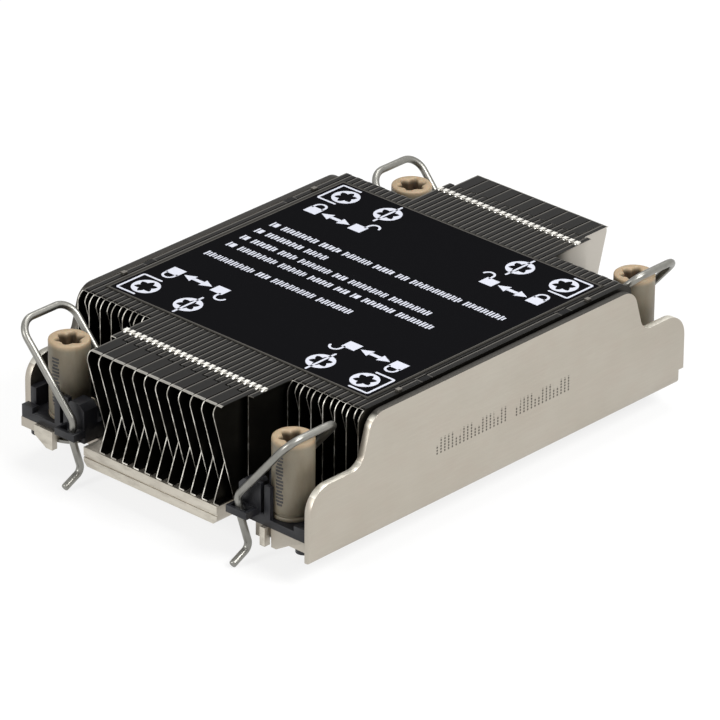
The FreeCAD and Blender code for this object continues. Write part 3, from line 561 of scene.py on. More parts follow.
@dataclass(frozen=True)
class SpringSteel:
    """Drawn spring wire with a soft satin gloss."""

    name: str = "spring_steel"
    tint: Colour = (0.29, 0.285, 0.26)
    cloudy: Colour = (0.19, 0.186, 0.17)

    def make(self) -> bpy.types.Material:
        """Builds the material."""
        graph = Graph(self.name)
        cloud = graph.noise(0.4, 3.0, 0.6)
        grain = graph.noise(4.0, 3.0, 0.6)
        colour = graph.mix(cloud.ramp(0.3, 0.7) * 0.5, self.tint, self.cloudy)
        return graph.finish({
            "Base Color": colour, "Metallic": 1.0, "Roughness": 0.32 + cloud * 0.12,
            "Normal": graph.relief(grain, 0.004, 0.4)})


# ---- surfaces


class Winding(Enum):
    """Which directions of a grid of points close on themselves."""

    OPEN = (False, False)
    TUBE = (False, True)
    RING = (True, True)


def new_object(name: str, data: bpy.types.ID) -> bpy.types.Object:
    """Makes an object of this data and links it into the scene."""
    made = bpy.data.objects.new(name, data)
    bpy.context.scene.collection.objects.link(made)
    return made


def oblong(left: float, right: float, near: float, far: float) -> np.ndarray:
    """The four corners of a rectangle in X and Y."""
    return np.array([(left, near), (right, near), (right, far), (left, far)])


def grid_faces(rows: int, columns: int, winding: Winding) -> np.ndarray:
    """The four-cornered faces of a grid of points.

    Args:
        rows: Points along the first parameter.
        columns: Points along the second parameter.
        winding: Which directions close.

    Returns:
        An array of faces, four point numbers each.
    """
    close_rows, close_columns = winding.value
    row = np.arange(rows if close_rows else rows - 1)[:, None]
    column = np.arange(columns if close_columns else columns - 1)[None, :]
    next_row = (row + 1) % rows
    next_column = (column + 1) % columns
    corners = [row * columns + column, row * columns + next_column,
               next_row * columns + next_column, next_row * columns + column]
    return np.stack([np.broadcast_to(c, np.broadcast_shapes(row.shape, column.shape))
                     for c in corners], axis=-1).reshape(-1, 4)


def new_mesh(name: str, points: Sequence, faces: Union[np.ndarray, list],
             sharp_above: float = 35.0) -> bpy.types.Object:
    """Makes an object of a mesh in millimetres, welded, with its faces turned outward.

    Args:
        name: The piece's name.
        points: One row of three numbers for each point.
        faces: Point numbers of each face.
        sharp_above: Edges that turn by more degrees than this stay sharp.

    Returns:
        The object, at the origin, with its place in its mesh.
    """
    mesh = bpy.data.meshes.new(name)
    faces = faces.tolist() if isinstance(faces, np.ndarray) else faces
    mesh.from_pydata((np.asarray(points, float) * MM).tolist(), [], faces)
    work = bmesh.new()
    work.from_mesh(mesh)
    bmesh.ops.remove_doubles(work, verts=work.verts, dist=1e-7)
    bmesh.ops.dissolve_degenerate(work, edges=work.edges, dist=1e-8)
    bmesh.ops.recalc_face_normals(work, faces=work.faces)
    work.to_mesh(mesh)
    work.free()
    mesh.polygons.foreach_set("use_smooth", np.ones(len(mesh.polygons), bool))
    mesh.set_sharp_from_angle(angle=math.radians(sharp_above))
    return new_object(name, mesh)


def settle(piece: bpy.types.Object, finish: bpy.types.Material, body: str,
           stands_for: Sequence[str] = ()) -> bpy.types.Object:
    """Gives a piece its finish and tells the frame what it belongs to.

    Args:
        piece: The new object.
        finish: Its material.
        body: The body it moves with.
        stands_for: CAD nodes that it replaces.

    Returns:
        The same object.
    """
    piece.data.materials.clear()
    piece.data.materials.append(finish)
    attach(piece, body)
    if stands_for:
        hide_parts(*stands_for)
    LOG.info("%s rides on %s, %d faces", piece.name, body, len(piece.data.polygons))
    return piece


def softened(node: bpy.types.Object, name: str, width: float, steps: int = 2) -> bpy.types.Object:
    """A welded copy of a CAD piece with its edges broken by a small round.

    Args:
        node: The CAD piece.
        name: The copy's name.
        width: Width of the broken edge in millimetres.
        steps: Segments of the round.

    Returns:
        The copy.
    """
    work = bmesh.new()
    work.from_mesh(node.data)
    bmesh.ops.remove_doubles(work, verts=work.verts, dist=1e-6)
    bmesh.ops.dissolve_limit(work, angle_limit=math.radians(0.5), verts=work.verts,
                             edges=work.edges)
    mesh = bpy.data.meshes.new(name)
    work.to_mesh(mesh)
    work.free()
    mesh.polygons.foreach_set("use_smooth", np.ones(len(mesh.polygons), bool))
    made = new_object(name, mesh)
    bevel = made.modifiers.new("broken_edges", "BEVEL")
    bevel.width = width * MM
    bevel.segments = steps
    bevel.limit_method = "ANGLE"
    bevel.angle_limit = math.radians(32)
    bevel.use_clamp_overlap = True
    bevel.harden_normals = True
    return made


def swept(path: np.ndarray, radii: np.ndarray, sides: int) -> tuple[np.ndarray, np.ndarray]:
    """A round tube along a path, closed at both ends.

    A point is path(s) + r(s) (cos t n(s) + sin t b(s)), where n and b turn as little as they can
    along the path; r falls to nothing at both ends.

    Args:
        path: The stations, three numbers each.
        radii: The tube's radius at each station.
        sides: Points round the tube.

    Returns:
        The points and the faces.
    """
    tangents = np.gradient(path, axis=0)
    tangents /= np.linalg.norm(tangents, axis=1)[:, None]
    normal = np.cross(tangents[0], (0.3, 0.5, 0.8))
    normal /= np.linalg.norm(normal)
    normals = [normal]
    for tangent in tangents[1:]:
        normal = normal - tangent * np.dot(normal, tangent)
        normal = normal / np.linalg.norm(normal)
        normals.append(normal)
    across = np.array(normals)
    beside = np.cross(tangents, across)
    turn = np.linspace(0, 2 * math.pi, sides, endpoint=False)
    ring = (np.cos(turn)[None, :, None] * across[:, None, :]
            + np.sin(turn)[None, :, None] * beside[:, None, :])
    points = path[:, None, :] + radii[:, None, None] * ring
    return points.reshape(-1, 3), grid_faces(len(path), sides, Winding.TUBE)


def rounded_path(corners: Sequence[Sequence[float]], bends: Sequence[float],
                 steps: int = 10) -> np.ndarray:
    """Straight runs joined by tangent arcs.

    A corner's arc is centre + side cos t - flat sin t, where side points from the arc's centre to
    the corner, flat is square to it and as long as the bend, and t runs over the arc's sweep.

    Args:
        corners: The route's corners, with its two ends.
        bends: A bend radius for each inner corner.
        steps: Stations in each arc.

    Returns:
        The stations in order.
    """
    points = [np.array(c, float) for c in corners]
    stations = [points[0]]
    for before, here, after, bend in zip(points, points[1:], points[2:], bends):
        back = (before - here) / np.linalg.norm(before - here)
        onward = (after - here) / np.linalg.norm(after - here)
        half = math.acos(np.clip(np.dot(back, onward), -1, 1)) / 2
        middle = (back + onward) / np.linalg.norm(back + onward)
        centre = here + middle * bend / math.sin(half)
        start = here + back * bend / math.tan(half) - centre
        sweep = math.pi - 2 * half
        side = -middle * bend
        flat = start - side * np.dot(start, side) / bend ** 2
        flat = flat / np.linalg.norm(flat) * bend
        turn = np.linspace(-sweep / 2, sweep / 2, steps)[:, None]
        stations.extend(centre + side * np.cos(turn) - flat * np.sin(turn))
    stations.append(points[-1])
    return np.array(stations)


def flat_plate(outline: np.ndarray, low: float, high: float) -> tuple[list, list]:
    """A thin closed plate under a flat outline.

    Args:
        outline: The outline's points in X and Y, in order.
        low: Height of its underside.
        high: Height of its face.

    Returns:
        The points and the faces.
    """
    count = len(outline)
    points = [(x, y, high) for x, y in outline] + [(x, y, low) for x, y in outline]
    faces = [list(range(count)), list(range(2 * count - 1, count - 1, -1))]
    faces += [[i, i + count, (i + 1) % count + count, (i + 1) % count] for i in range(count)]
    return points, faces


def flat_ribbon(middle: np.ndarray, width: float, low: float, high: float) -> tuple[list, list]:
    """A thin closed ribbon along a flat line: the line moved half a width to each side.

    Args:
        middle: The line's points in X and Y.
        width: The ribbon's width.
        low: Height of its underside.
        high: Height of its face.

    Returns:
        The points and the faces; both ends are half rounds.
    """
    run = np.gradient(middle, axis=0)
    run /= np.linalg.norm(run, axis=1)[:, None]
    side = np.stack([-run[:, 1], run[:, 0]], axis=1)
    turn = np.linspace(math.pi / 2, -math.pi / 2, 7)[1:-1, None]
    last = middle[-1] + (run[-1] * np.cos(turn) + side[-1] * np.sin(turn)) * width / 2
    first = middle[0] + (-run[0] * np.cos(turn) - side[0] * np.sin(turn)) * width / 2
    outline = np.concatenate([middle + side * width / 2, last,
                              (middle - side * width / 2)[::-1], first])
    return flat_plate(outline, low, high)


class Sheaf:
    """Gathers many small shapes into one mesh."""

    def __init__(self) -> None:
        """Starts empty."""
        self.points: list = []
        self.faces: list = []

    def add(self, shape: tuple) -> None:
        """Adds a shape.

        Args:
            shape: Its points and its faces.
        """
        points, faces = shape
        start = len(self.points)
        self.points.extend(np.asarray(points, float).tolist())
        self.faces.extend([[int(i) + start for i in face] for face in faces])

    def piece(self, name: str, sharp_above: float = 35.0) -> bpy.types.Object:
        """Makes the object."""
        return new_mesh(name, np.array(self.points), self.faces, sharp_above)


# ---- the film's print


@dataclass
class FilmPrint:
    """The pale signs on the film: in each corner two nut rings, a shut and an open padlock.

    Each row of bars is its middle along Y, its two ends along X and the words' lengths.
    """

    ring_at: tuple[float, float] = (28.7, 28.0)
    free_at: tuple[float, float] = (17.4, 28.0)
    ring_radius: float = 2.9
    star_tip: float = 2.35
    star_dent: float = 1.42
    star_turn: float = math.pi / 6
    slash_half: float = 4.05
    bracket_out: float = 32.8
    bracket_in: float = 28.2
    bracket_half: float = 3.75
    stroke: float = 0.5
    lock_y: float = 17.9
    lock_high: float = 2.7
    lock_wide: float = 3.2
    shut_x: float = 29.2
    open_x: float = 17.3
    bow: float = 1.25
    arrow: tuple[float, float] = (19.5, 27.0)
    head: float = 2.5
    barb: float = 1.25
    waist: float = 0.45
    ink_thick: float = 0.03
    body: str = "heatsink"
    rows: tuple = ((9.1, -30.7, 30.3, (2.0, 10.4, 5.6, 7.9, 5.4, 3.0, 14.4, 11.6)),
                   (5.0, -31.0, -12.3, (2.0, 10.8, 6.3)),
                   (0.9, -30.9, 18.6, (2.0, 7.4, 5.0, 9.6, 3.6, 11.5, 12.2)),
                   (-3.2, -30.7, 22.9, (2.0, 10.6, 7.2, 6.2, 3.4, 1.9, 8.4, 9.6)),
                   (-9.0, -31.0, 7.3, (14.4, 3.4, 12.3, 9.8)))
    row_high: float = 1.95
    word_gap: float = 1.25
    cell: float = 1.42
    pair_gap: float = 0.4
    bar: float = 0.4
    bar_gap: float = 0.3

    def levels(self) -> tuple[float, float]:
        """Heights of the ink's underside and face."""
        film_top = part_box("label")[1].z / MM
        return film_top - self.ink_thick / 3, film_top + self.ink_thick

    def star_ring(self, centre: tuple[float, float]) -> tuple[np.ndarray, np.ndarray]:
        """A filled disc with a six-pointed hole.

        The section goes round a closed rectangle. Its outer side is round. Its inner side follows
        the star's edge, r(t) = dent + (tip - dent) w(t), where w goes from 0 to 1 and back in each
        sixth of a turn.

        Args:
            centre: The disc's middle in X and Y.

        Returns:
            The points and the faces.
        """
        low, high = self.levels()
        turn = np.linspace(0, 2 * math.pi, 96, endpoint=False)
        wave = (np.abs((turn + self.star_turn) / (math.pi / 3) % 1 - 0.5) * 2) ** 0.9
        inner = self.star_dent + (self.star_tip - self.star_dent) * wave
        outer = np.full_like(turn, self.ring_radius)
        loop = ((inner, high), (outer, high), (outer, low), (inner, low))
        points = np.stack([np.stack([centre[0] + r * np.cos(turn), centre[1] + r * np.sin(turn),
                                     np.full_like(turn, z)], axis=-1) for r, z in loop])
        return points.reshape(-1, 3), grid_faces(4, len(turn), Winding.RING)

    def corner(self, sheaf: Sheaf, side_x: int, side_y: int) -> None:
        """Adds one corner's signs, drawn for the right rear and mirrored by the two signs.

        Args:
            sheaf: Takes the shapes.
            side_x: 1 on the right, -1 on the left.
            side_y: 1 at the rear, -1 at the front.
        """
        low, high = self.levels()
        flip = np.array([side_x, side_y])

        def line(points: Sequence, width: float) -> None:
            """Adds a mirrored ribbon."""
            sheaf.add(flat_ribbon(np.array(points) * flip, width, low, high))

        def plate(points: Sequence) -> None:
            """Adds a mirrored plate."""
            sheaf.add(flat_plate(np.array(points) * flip, low, high))

        for at in (self.ring_at, self.free_at):
            sheaf.add(self.star_ring((at[0] * side_x, at[1] * side_y)))
        near = self.ring_at[1] - self.bracket_half
        far = self.ring_at[1] + self.bracket_half
        bracket = [(self.bracket_in, far, 0.0), (self.bracket_out, far, 0.0),
                   (self.bracket_out, near, 0.0), (self.bracket_in, near, 0.0)]
        line(rounded_path(bracket, (0.35, 0.35), 5)[:, :2], self.stroke)
        line([(self.free_at[0], self.free_at[1] + past)
              for past in (-self.slash_half, 0.0, self.slash_half)], self.stroke)
        for middle, swung in ((self.shut_x, False), (self.open_x, True)):
            plate(oblong(middle - self.lock_wide / 2, middle + self.lock_wide / 2,
                         self.lock_y, self.lock_y + self.lock_high))
            self.shackle(line, middle, swung)
        tip_in, tip_out = self.arrow
        neck_in, neck_out = tip_in + self.head, tip_out - self.head
        mid = self.lock_y + self.lock_high / 2
        plate([(tip_in, mid), (neck_in, mid - self.barb), (neck_in, mid + self.barb)])
        plate([(tip_out, mid), (neck_out, mid + self.barb), (neck_out, mid - self.barb)])
        plate(oblong(neck_in - 0.05, neck_out + 0.05, mid - self.waist, mid + self.waist))

    def shackle(self, line: Callable[[Sequence, float], None], middle: float,
                swung: bool) -> None:
        """Adds a padlock's bow: over its body when shut, hooked to the inner side when open.

        Args:
            line: Adds a ribbon through points.
            middle: The padlock's middle along X.
            swung: Whether the padlock is open.
        """
        foot = self.lock_y + self.lock_high - 0.2
        reach = self.bow
        turn = np.linspace(0, math.pi, 13)
        if swung:
            centre = (middle - self.lock_wide / 2 - 0.6, foot + 1.0)
            arc = [(centre[0] + reach * math.cos(a), centre[1] + reach * math.sin(a))
                   for a in turn * 0.95]
            line([(centre[0] + reach, foot), *arc], self.stroke)
            return
        arc = [(middle + reach * math.cos(a), foot + 0.8 + 0.95 * reach * math.sin(a))
               for a in turn]
        line([(middle + reach, foot), *arc, (middle - reach, foot)], self.stroke)

    def words(self, sheaf: Sheaf) -> None:
        """Adds rows of plain upright bars, slim and broad by turns, in a group for each word.

        Args:
            sheaf: Takes the shapes.
        """
        for centre_y, start, end, lengths in self.rows:
            gaps = self.word_gap * (len(lengths) - 1)
            scale = (end - start - gaps) / sum(lengths)
            left = start
            for number, length in enumerate(lengths):
                count = max(1, round(length * scale / self.cell))
                step = (length * scale + self.pair_gap) / count
                for index in range(count):
                    near = left + step * index
                    self.pair(sheaf, near, centre_y, step - self.pair_gap,
                              (index * 5 + number * 3) % 7)
                left += length * scale + self.word_gap

    def pair(self, sheaf: Sheaf, near: float, centre_y: float, wide: float, turn: int) -> None:
        """Adds a slim upright bar and a broader one beside it, both centred on the row.

        Args:
            sheaf: Takes the shapes.
            near: Where the slim bar starts along X.
            centre_y: The row's middle along Y.
            wide: Width of the two with the gap between them.
            turn: Chooses among a few slightly different heights.
        """
        low, high = self.levels()
        broad = wide - self.bar - self.bar_gap
        for left, right, half in (
                (near, near + self.bar, self.row_high * (0.5 - 0.03 * (turn % 2))),
                (near + wide - broad, near + wide, self.row_high * (0.42 - 0.04 * (turn % 3)))):
            sheaf.add(flat_plate(oblong(left, right, centre_y - half, centre_y + half),
                                 low, high))

    def build(self, ink: bpy.types.Material) -> None:
        """Builds the print and lays it on the film."""
        signs = Sheaf()
        for side_x in (-1, 1):
            for side_y in (-1, 1):
                self.corner(signs, side_x, side_y)
        settle(signs.piece("film_signs"), ink, self.body)
        bars = Sheaf()
        self.words(bars)
        settle(bars.piece("film_word_bars"), ink, self.body)


# ---- wires, nuts and tabs


class Corner(Enum):
    """The four corners, with their signs along X and Y."""

    FRONT_LEFT = (-1, -1)
    FRONT_RIGHT = (1, -1)
    REAR_LEFT = (-1, 1)
    REAR_RIGHT = (1, 1)

    @property
    def label(self) -> str:
        """The corner's name in the frame."""
        return self.name.lower()


@dataclass
class TiltWire:
    """One anti-tilt wire: hook, leg, grip over the nut, second leg and pivot pin.

    The front left wire is sprung a little further out than the others, with a longer loop.
    """

    radius: float = 0.75
    pivot_x: float = 21.6
    pivot_z: float = 8.9
    nut_y: float = 48.0
    reach: float = 20.0
    lean: float = 40.5
    reach_long: float = 21.7
    lean_wide: float = 42.5
    half: float = 6.75
    pin_long: float = 3.2
    hook_out: float = 0.6
    hook_top: float = 5.4
    knee_in: float = 2.5
    knee_z: float = -2.5
    toe_out: float = 2.1
    toe_z: float = -4.7
    bend: float = 2.2
    grip_bend: float = 3.6
    sides: int = 28

    def route(self, corner: Corner) -> np.ndarray:
        """The wire's centre line, mirrored for its corner.

        Args:
            corner: The wire's corner.

        Returns:
            The stations from the hook's toe to the pivot pin's end.
        """
        side = np.array([*corner.value, 1.0])
        outer = self.nut_y + self.half
        inner = self.nut_y - self.half
        hook_x = self.pivot_x + self.hook_out
        sprung = corner is Corner.FRONT_LEFT
        reach = self.reach_long if sprung else self.reach
        lean = math.radians(self.lean_wide if sprung else self.lean)
        grip_x = self.pivot_x + reach * math.sin(lean)
        grip_z = self.pivot_z + reach * math.cos(lean)
        corners = [(hook_x, outer + self.toe_out, self.toe_z),
                   (hook_x, outer - self.knee_in, self.knee_z),
                   (hook_x, outer, self.hook_top), (self.pivot_x, outer, self.pivot_z),
                   (grip_x, outer, grip_z), (grip_x, inner, grip_z),
                   (self.pivot_x, inner, self.pivot_z),
                   (self.pivot_x, inner + self.pin_long, self.pivot_z)]
        bends = (self.bend * 0.75, self.bend, self.bend, self.grip_bend, self.grip_bend,
                 self.radius * 1.5)
        return rounded_path(np.array(corners) * side, bends, 16)

    def build(self, corner: Corner, steel: bpy.types.Material) -> None:
        """Builds the wire with its two cut ends slightly broken.

        Args:
            corner: The wire's corner.
            steel: Its finish.
        """
        path = self.route(corner)
        first = path[0] + (path[1] - path[0]) * np.array([0, 0, 0.03, 0.12])[:, None]
        last = path[-1] + (path[-2] - path[-1]) * np.array([0.12, 0.03, 0, 0])[:, None]
        path = np.concatenate([first + (path[0] - path[1]) * np.array([1e-6, 0, 0, 0])[:, None],
                               path[1:-1],
                               last + (path[-1] - path[-2]) * np.array([0, 0, 0, 1e-6])[:, None]])
        radii = np.full(len(path), self.radius)
        radii[:4] = self.radius * np.array([0.0, 0.86, 0.97, 1.0])
        radii[-4:] = radii[:4][::-1]
        points, faces = swept(path, radii, self.sides)
        name = corner.label + "_wire"
        settle(new_mesh(name + "_drawn", points, faces, 40), steel, name, [name])


@dataclass
class DriverNut:
    """A captive nut: threaded hub under the base, collar, tall body and six-lobed socket."""

    at: tuple[float, float] = (29.4, 48.0)
    radius: float = 4.1
    hub: float = 3.2
    thread: float = 2.0
    thread_deep: float = 7.0
    bottom: float = 0.4
    seat: float = 5.5
    collar_high: float = 0.8
    waist: float = 0.35
    top: float = 21.6
    socket_outer: float = 2.8
    socket_inner: float = 2.0
    socket_deep: float = 5.5
    ring_groove: float = 0.35
    ring_low: float = 1.2
    ring_high: float = 1.8
    marks_front: float = -86.0
    marks_rear: float = 94.0
    marks_low: float = 8.6
    marks_high: float = 18.6
    mark_step: float = 0.7
    mark_tall: float = 0.42
    mark_long: float = 1.75
    mark_short: float = 1.25
    mark_sunk: float = 0.05
    mark_proud: float = 0.012
    sides: int = 120

    def section(self) -> list[tuple[float, float, float]]:
        """The outline from the thread's blind end round to the socket's floor.

        Returns:
            Radius, height and how far the six lobes swing the radius, for each point.
        """
        lobe = (self.socket_outer - self.socket_inner) / 2
        mean = (self.socket_outer + self.socket_inner) / 2
        soft = 0.22
        rim = self.top
        collar = self.seat + self.collar_high
        floor = rim - self.socket_deep
        blind = self.bottom + self.thread_deep
        return [
            (0.0, blind, 0), (self.thread, blind, 0),
            (self.thread, self.bottom + 0.2, 0), (self.thread + 0.2, self.bottom, 0),
            (self.hub - 0.2, self.bottom, 0), (self.hub, self.bottom + 0.2, 0),
            (self.hub, self.ring_low, 0), (self.hub - self.ring_groove, self.ring_low, 0),
            (self.hub - self.ring_groove, self.ring_high, 0), (self.hub, self.ring_high, 0),
            (self.hub, self.seat, 0), (self.radius - 0.1, self.seat, 0),
            (self.radius, self.seat + 0.1, 0), (self.radius, collar - 0.1, 0),
            (self.radius - 0.1, collar, 0), (self.radius - self.waist, collar + 0.05, 0),
            (self.radius - self.waist, collar + 0.35, 0), (self.radius - 0.12, collar + 0.5, 0),
            (self.radius - 0.04, collar + 0.62, 0), (self.radius, rim - 2 * soft, 0),
            (self.radius - 0.06, rim - soft * 0.8, 0), (self.radius - 0.2, rim - 0.06, 0),
            (self.radius - 0.42, rim, 0), (mean + 0.62, rim, 0.35 * lobe),
            (mean + 0.34, rim - 0.07, 0.8 * lobe), (mean + 0.14, rim - 0.26, lobe),
            (mean, rim - 0.6, lobe), (mean, floor, lobe), (0.0, floor - 0.3, 0)]

    def build(self, corner: Corner, plastic: bpy.types.Material) -> None:
        """Builds the nut: radius r(s) + a(s) cos 6t round an upright axis, s along the section.

        Args:
            corner: The nut's corner.
            plastic: Its finish.
        """
        rows = np.array(self.section())
        turn = np.linspace(0, 2 * math.pi, self.sides, endpoint=False)
        wave = np.cos(6 * turn)
        radii = rows[:, :1] + rows[:, 2:] * wave[None, :]
        centre = (self.at[0] * corner.value[0], self.at[1] * corner.value[1])
        points = np.stack([centre[0] + radii * np.cos(turn), centre[1] + radii * np.sin(turn),
                           np.broadcast_to(rows[:, 1:2], radii.shape)], axis=-1)
        name = corner.label + "_nut"
        settle(new_mesh(name + "_moulded", points.reshape(-1, 3),
                        grid_faces(len(rows), self.sides, Winding.TUBE), 50),
               plastic, name, [name])

    def marks(self, corner: Corner, ink: bpy.types.Material) -> None:
        """Adds a column of short plain bars on the side of the nut that faces outward.

        Args:
            corner: The nut's corner.
            ink: The bars' finish.
        """
        sheaf = Sheaf()
        middle = math.radians(self.marks_front if corner.value[1] < 0 else self.marks_rear)
        for index, z in enumerate(np.arange(self.marks_low, self.marks_high, self.mark_step)):
            long = self.mark_long if index % 4 else self.mark_short
            sheaf.add(self.mark(corner, middle, z, long))
        name = corner.label + "_nut"
        settle(sheaf.piece(name + "_marks"), ink, name)

    def mark(self, corner: Corner, turn: float, z: float, long: float) -> tuple:
        """One bar, bent round the nut: a closed shell between two radii.

        Args:
            corner: The nut's corner.
            turn: The bar's middle round the nut, in radians.
            z: Height of its foot.
            long: Its length round the nut.

        Returns:
            The points and the faces.
        """
        arc = turn + np.linspace(-0.5, 0.5, 5) * long / self.radius
        sunk, proud = self.radius - self.mark_sunk, self.radius + self.mark_proud
        head = z + self.mark_tall
        loop = ((sunk, z), (proud, z), (proud, head), (sunk, head))
        centre = (self.at[0] * corner.value[0], self.at[1] * corner.value[1])
        points = np.stack([np.stack([centre[0] + r * np.cos(arc), centre[1] + r * np.sin(arc),
                                     np.full_like(arc, h)], axis=-1) for r, h in loop], axis=1)
        faces = grid_faces(5, 4, Winding.TUBE).tolist() + [[3, 2, 1, 0], [16, 17, 18, 19]]
        return points.reshape(-1, 3), faces


@dataclass
class TabRow:
    """The interlock tabs across the centre fins, a row at each end, in near-white metal as a
    painted highlight.
    """

    first: float = -18.0
    pitch: float = 1.5
    count: int = 25
    row_y: float = 43.9
    top: float = 25.85
    half: tuple[float, float, float] = (0.53, 0.66, 0.42)
    toe: tuple[float, float, float] = (0.24, 0.32, 0.22)
    toe_at: tuple[float, float, float] = (0.1, 0.68, 0.34)
    square: float = 0.85
    body: str = "heatsink"

    def bead(self, centre: Sequence[float], half: Sequence[float]) -> tuple:
        """A squared-off pebble: the signed powers of the usual sphere's sines and cosines.

        Args:
            centre: Its middle.
            half: Half its size along X, Y and Z.

        Returns:
            The points and the faces.
        """
        rise = np.linspace(-math.pi / 2, math.pi / 2, 9)[:, None]
        turn = np.linspace(0, 2 * math.pi, 16, endpoint=False)[None, :]

        def soft(value: np.ndarray) -> np.ndarray:
            """The signed power."""
            return np.sign(value) * np.abs(value) ** self.square

        points = np.stack([soft(np.cos(rise)) * soft(np.cos(turn)) * half[0],
                           soft(np.cos(rise)) * soft(np.sin(turn)) * half[1],
                           soft(np.sin(rise)) * half[2] * np.ones_like(turn)], axis=-1)
        return points.reshape(-1, 3) + np.array(centre), grid_faces(9, 16, Winding.TUBE)

    def build(self, metal: bpy.types.Material) -> None:
        """Builds both rows."""
        for name, side in (("front", -1), ("rear", 1)):
            sheaf = Sheaf()
            for index in range(self.count):
                x = self.first + self.pitch * index
                sheaf.add(self.bead((x, side * self.row_y, self.top - self.half[2]), self.half))
                sheaf.add(self.bead((x + self.toe_at[0], side * (self.row_y + self.toe_at[1]),
                                     self.top - self.toe_at[2]), self.toe))
            settle(sheaf.piece(name + "_interlock_tabs"), metal, self.body)


# ---- CAD pieces and studio


@dataclass
class CadDress:
    """Finishes for the pieces that keep their CAD shape or a softened copy of it."""

    nodes: dict
    plate: bpy.types.Material
    sheet: bpy.types.Material
    film: bpy.types.Material
    plastic: bpy.types.Material
    steel: bpy.types.Material
    base_round: float = 0.16
    keeper_round: float = 0.14
    body: str = "heatsink"

    def paint(self, name: str, finish: bpy.types.Material) -> None:
        """Gives a CAD piece its finish.

        Args:
            name: The CAD node.
            finish: Its material.
        """
        mesh = self.nodes[name].data
        mesh.materials.clear()
        mesh.materials.append(finish)

    def build(self) -> None:
        """Dresses every CAD piece."""
        for name in self.nodes:
            if "fin" in name:
                self.paint(name, self.sheet)
            elif name.endswith("_ring"):
                self.paint(name, self.steel)
        self.paint("label", self.film)
        base = softened(self.nodes["base"], "base_plated", self.base_round)
        settle(base, self.plate, self.body, ["base"])
        for corner in Corner:
            name = corner.label + "_keeper"
            piece = softened(self.nodes[name], name + "_moulded", self.keeper_round)
            settle(piece, self.plastic, self.body, [name])


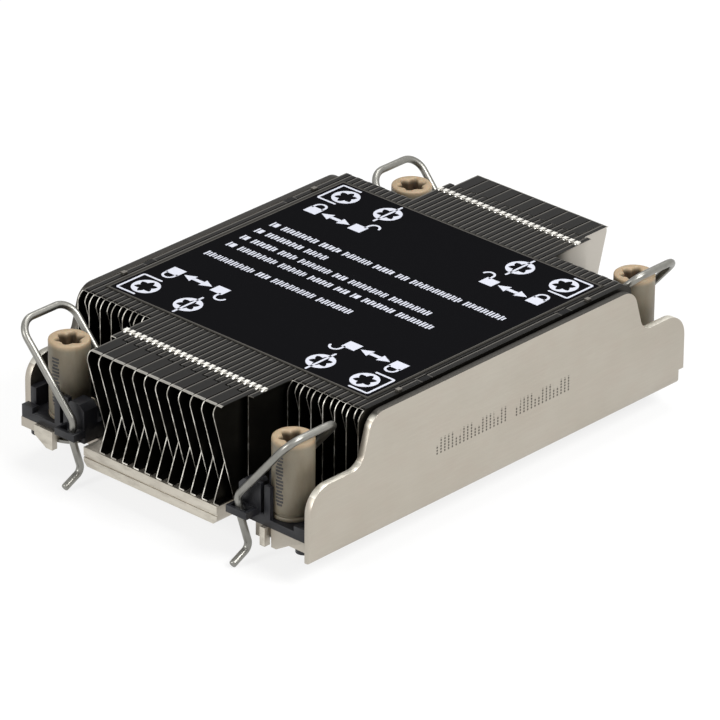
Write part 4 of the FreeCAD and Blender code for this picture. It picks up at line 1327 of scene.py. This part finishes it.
@dataclass
class Studio:
    """A pale floor, soft lamps and the camera."""

    azimuth: float = 42.85
    elevation: float = 26.52
    roll: float = 0.5
    distance: float = 1267.9
    lens: float = 330.05
    sensor: float = 36.0
    clip_end: float = 20.0
    aim: tuple[float, float, float] = (3.82, -2.55, 12.0)
    floor_half: float = 3000.0
    floor_glow: float = 0.8
    paper: Colour = (0.92, 0.92, 0.915)
    paper_grain: Colour = (0.88, 0.88, 0.875)
    soft_light: float = 0.4
    soft_colour: Colour = (1.0, 0.99, 0.97)
    lamps: tuple = (
        # name, azimuth, elevation, distance, size, watts
        ("key", 92.0, 46.0, 700.0, 300.0, 4.2),
        ("front", -12.0, 30.0, 800.0, 260.0, 2.4),
        ("top", 200.0, 72.0, 750.0, 420.0, 2.4),
    )

    def outlook(self, azimuth: float, elevation: float) -> tuple[Vector, Matrix]:
        """How something stands that looks at the object.

        Args:
            azimuth: Degrees from the front towards the right side.
            elevation: Degrees above the floor.

        Returns:
            The unit vector from the object towards it, and its turn.
        """
        a, e = math.radians(azimuth), math.radians(elevation)
        back = Vector((math.sin(a) * math.cos(e), -math.cos(a) * math.cos(e), math.sin(e)))
        return back, (-back).to_track_quat("-Z", "Y").to_matrix().to_4x4()

    def camera(self) -> None:
        """Places the camera."""
        data = bpy.data.cameras.new("camera")
        data.lens = self.lens
        data.sensor_width = self.sensor
        data.clip_end = self.clip_end
        made = new_object("camera", data)
        back, turn = self.outlook(self.azimuth, self.elevation)
        place = Vector(self.aim) * MM + back * self.distance * MM
        made.matrix_world = (Matrix.Translation(place) @ turn
                             @ Matrix.Rotation(math.radians(self.roll), 4, "Z"))
        bpy.context.scene.camera = made

    def lights(self) -> None:
        """Places the lamps."""
        for name, azimuth, elevation, distance, size, watts in self.lamps:
            data = bpy.data.lights.new(name, "AREA")
            data.shape = "DISK"
            data.size = size * MM
            data.energy = watts
            back, turn = self.outlook(azimuth, elevation)
            place = Matrix.Translation(back * distance * MM)
            new_object(name, data).matrix_world = place @ turn

    def direct(self, tree: bpy.types.NodeTree) -> bpy.types.NodeSocket:
        """1 for a ray that comes from the camera, off gloss or through clear matter, else 0."""
        path = tree.nodes.new("ShaderNodeLightPath")
        shown = path.outputs["Is Camera Ray"]
        for ray in ("Is Glossy Ray", "Is Transmission Ray"):
            seen = tree.nodes.new("ShaderNodeMath")
            seen.operation = "MAXIMUM"
            tree.links.new(shown, seen.inputs[0])
            tree.links.new(path.outputs[ray], seen.inputs[1])
            shown = seen.outputs[0]
        return shown

    def world(self) -> None:
        """A white surround for the camera and for gloss, and a softer one for light."""
        world = bpy.data.worlds.new("surround")
        bpy.context.scene.world = world
        world.use_nodes = True
        tree = world.node_tree
        tree.nodes.clear()
        soft = tree.nodes.new("ShaderNodeBackground")
        soft.inputs["Color"].default_value = (*self.soft_colour, 1.0)
        soft.inputs["Strength"].default_value = self.soft_light
        white = tree.nodes.new("ShaderNodeBackground")
        white.inputs["Strength"].default_value = 1.0
        mixed = tree.nodes.new("ShaderNodeMixShader")
        tree.links.new(self.direct(tree), mixed.inputs[0])
        tree.links.new(soft.outputs[0], mixed.inputs[1])
        tree.links.new(white.outputs[0], mixed.inputs[2])
        out = tree.nodes.new("ShaderNodeOutputWorld")
        tree.links.new(mixed.outputs[0], out.inputs["Surface"])

    def floor(self, level: float) -> None:
        """Lays the floor: near-white to the camera and to gloss, with the object's shadow kept.

        Args:
            level: Its height.
        """
        half = self.floor_half
        points = [(x, y, level) for x, y in oblong(-half, half, -half, half)]
        made = new_mesh("floor", points, [[0, 1, 2, 3]])
        graph = Graph("floor_paper")
        grain = graph.noise(0.02, 3.0, 0.6)
        paper = graph.mix(grain * 0.15, self.paper, self.paper_grain)
        matt = graph.node("ShaderNodeBsdfDiffuse", None, {"Color": paper})
        glow = graph.node("ShaderNodeEmission", None, {"Strength": 1.0})
        seen = Scalar(graph, self.direct(graph.tree)) * self.floor_glow
        shader = graph.node("ShaderNodeMixShader", None, {0: seen, 1: matt, 2: glow})
        graph.node("ShaderNodeOutputMaterial", None, {"Surface": shader})
        made.data.materials.append(graph.material)
        made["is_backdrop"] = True

    def build(self, floor_level: float) -> None:
        """Sets the studio up.

        Args:
            floor_level: Height of the floor.
        """
        scene = bpy.context.scene
        scene.view_settings.view_transform = "Standard"
        self.world()
        self.lights()
        self.camera()
        self.floor(floor_level)


def main() -> None:
    """Builds the dressed heatsink."""
    logging.basicConfig(level=logging.INFO, format="%(name)s: %(message)s")
    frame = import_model()
    cad_box = [list(corner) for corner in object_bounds()]
    steel = SpringSteel().make()
    nut_plastic = NutPlastic().make()
    dark_ink = DARK_INK.make()
    CadDress(frame["nodes"], PlatedMetal().make(), FinSheet().make(), BlackFilm().make(),
             KeeperPlastic().make(), steel).build()
    FilmPrint().build(PALE_INK.make())
    TabRow().build(BRIGHT_TAB.make())
    nut = DriverNut()
    wire = TiltWire()
    for corner in Corner:
        nut.build(corner, nut_plastic)
        nut.marks(corner, dark_ink)
        wire.build(corner, steel)
    Studio().build(cad_box[0][2] / MM)


if __name__ == "__main__":
    main()
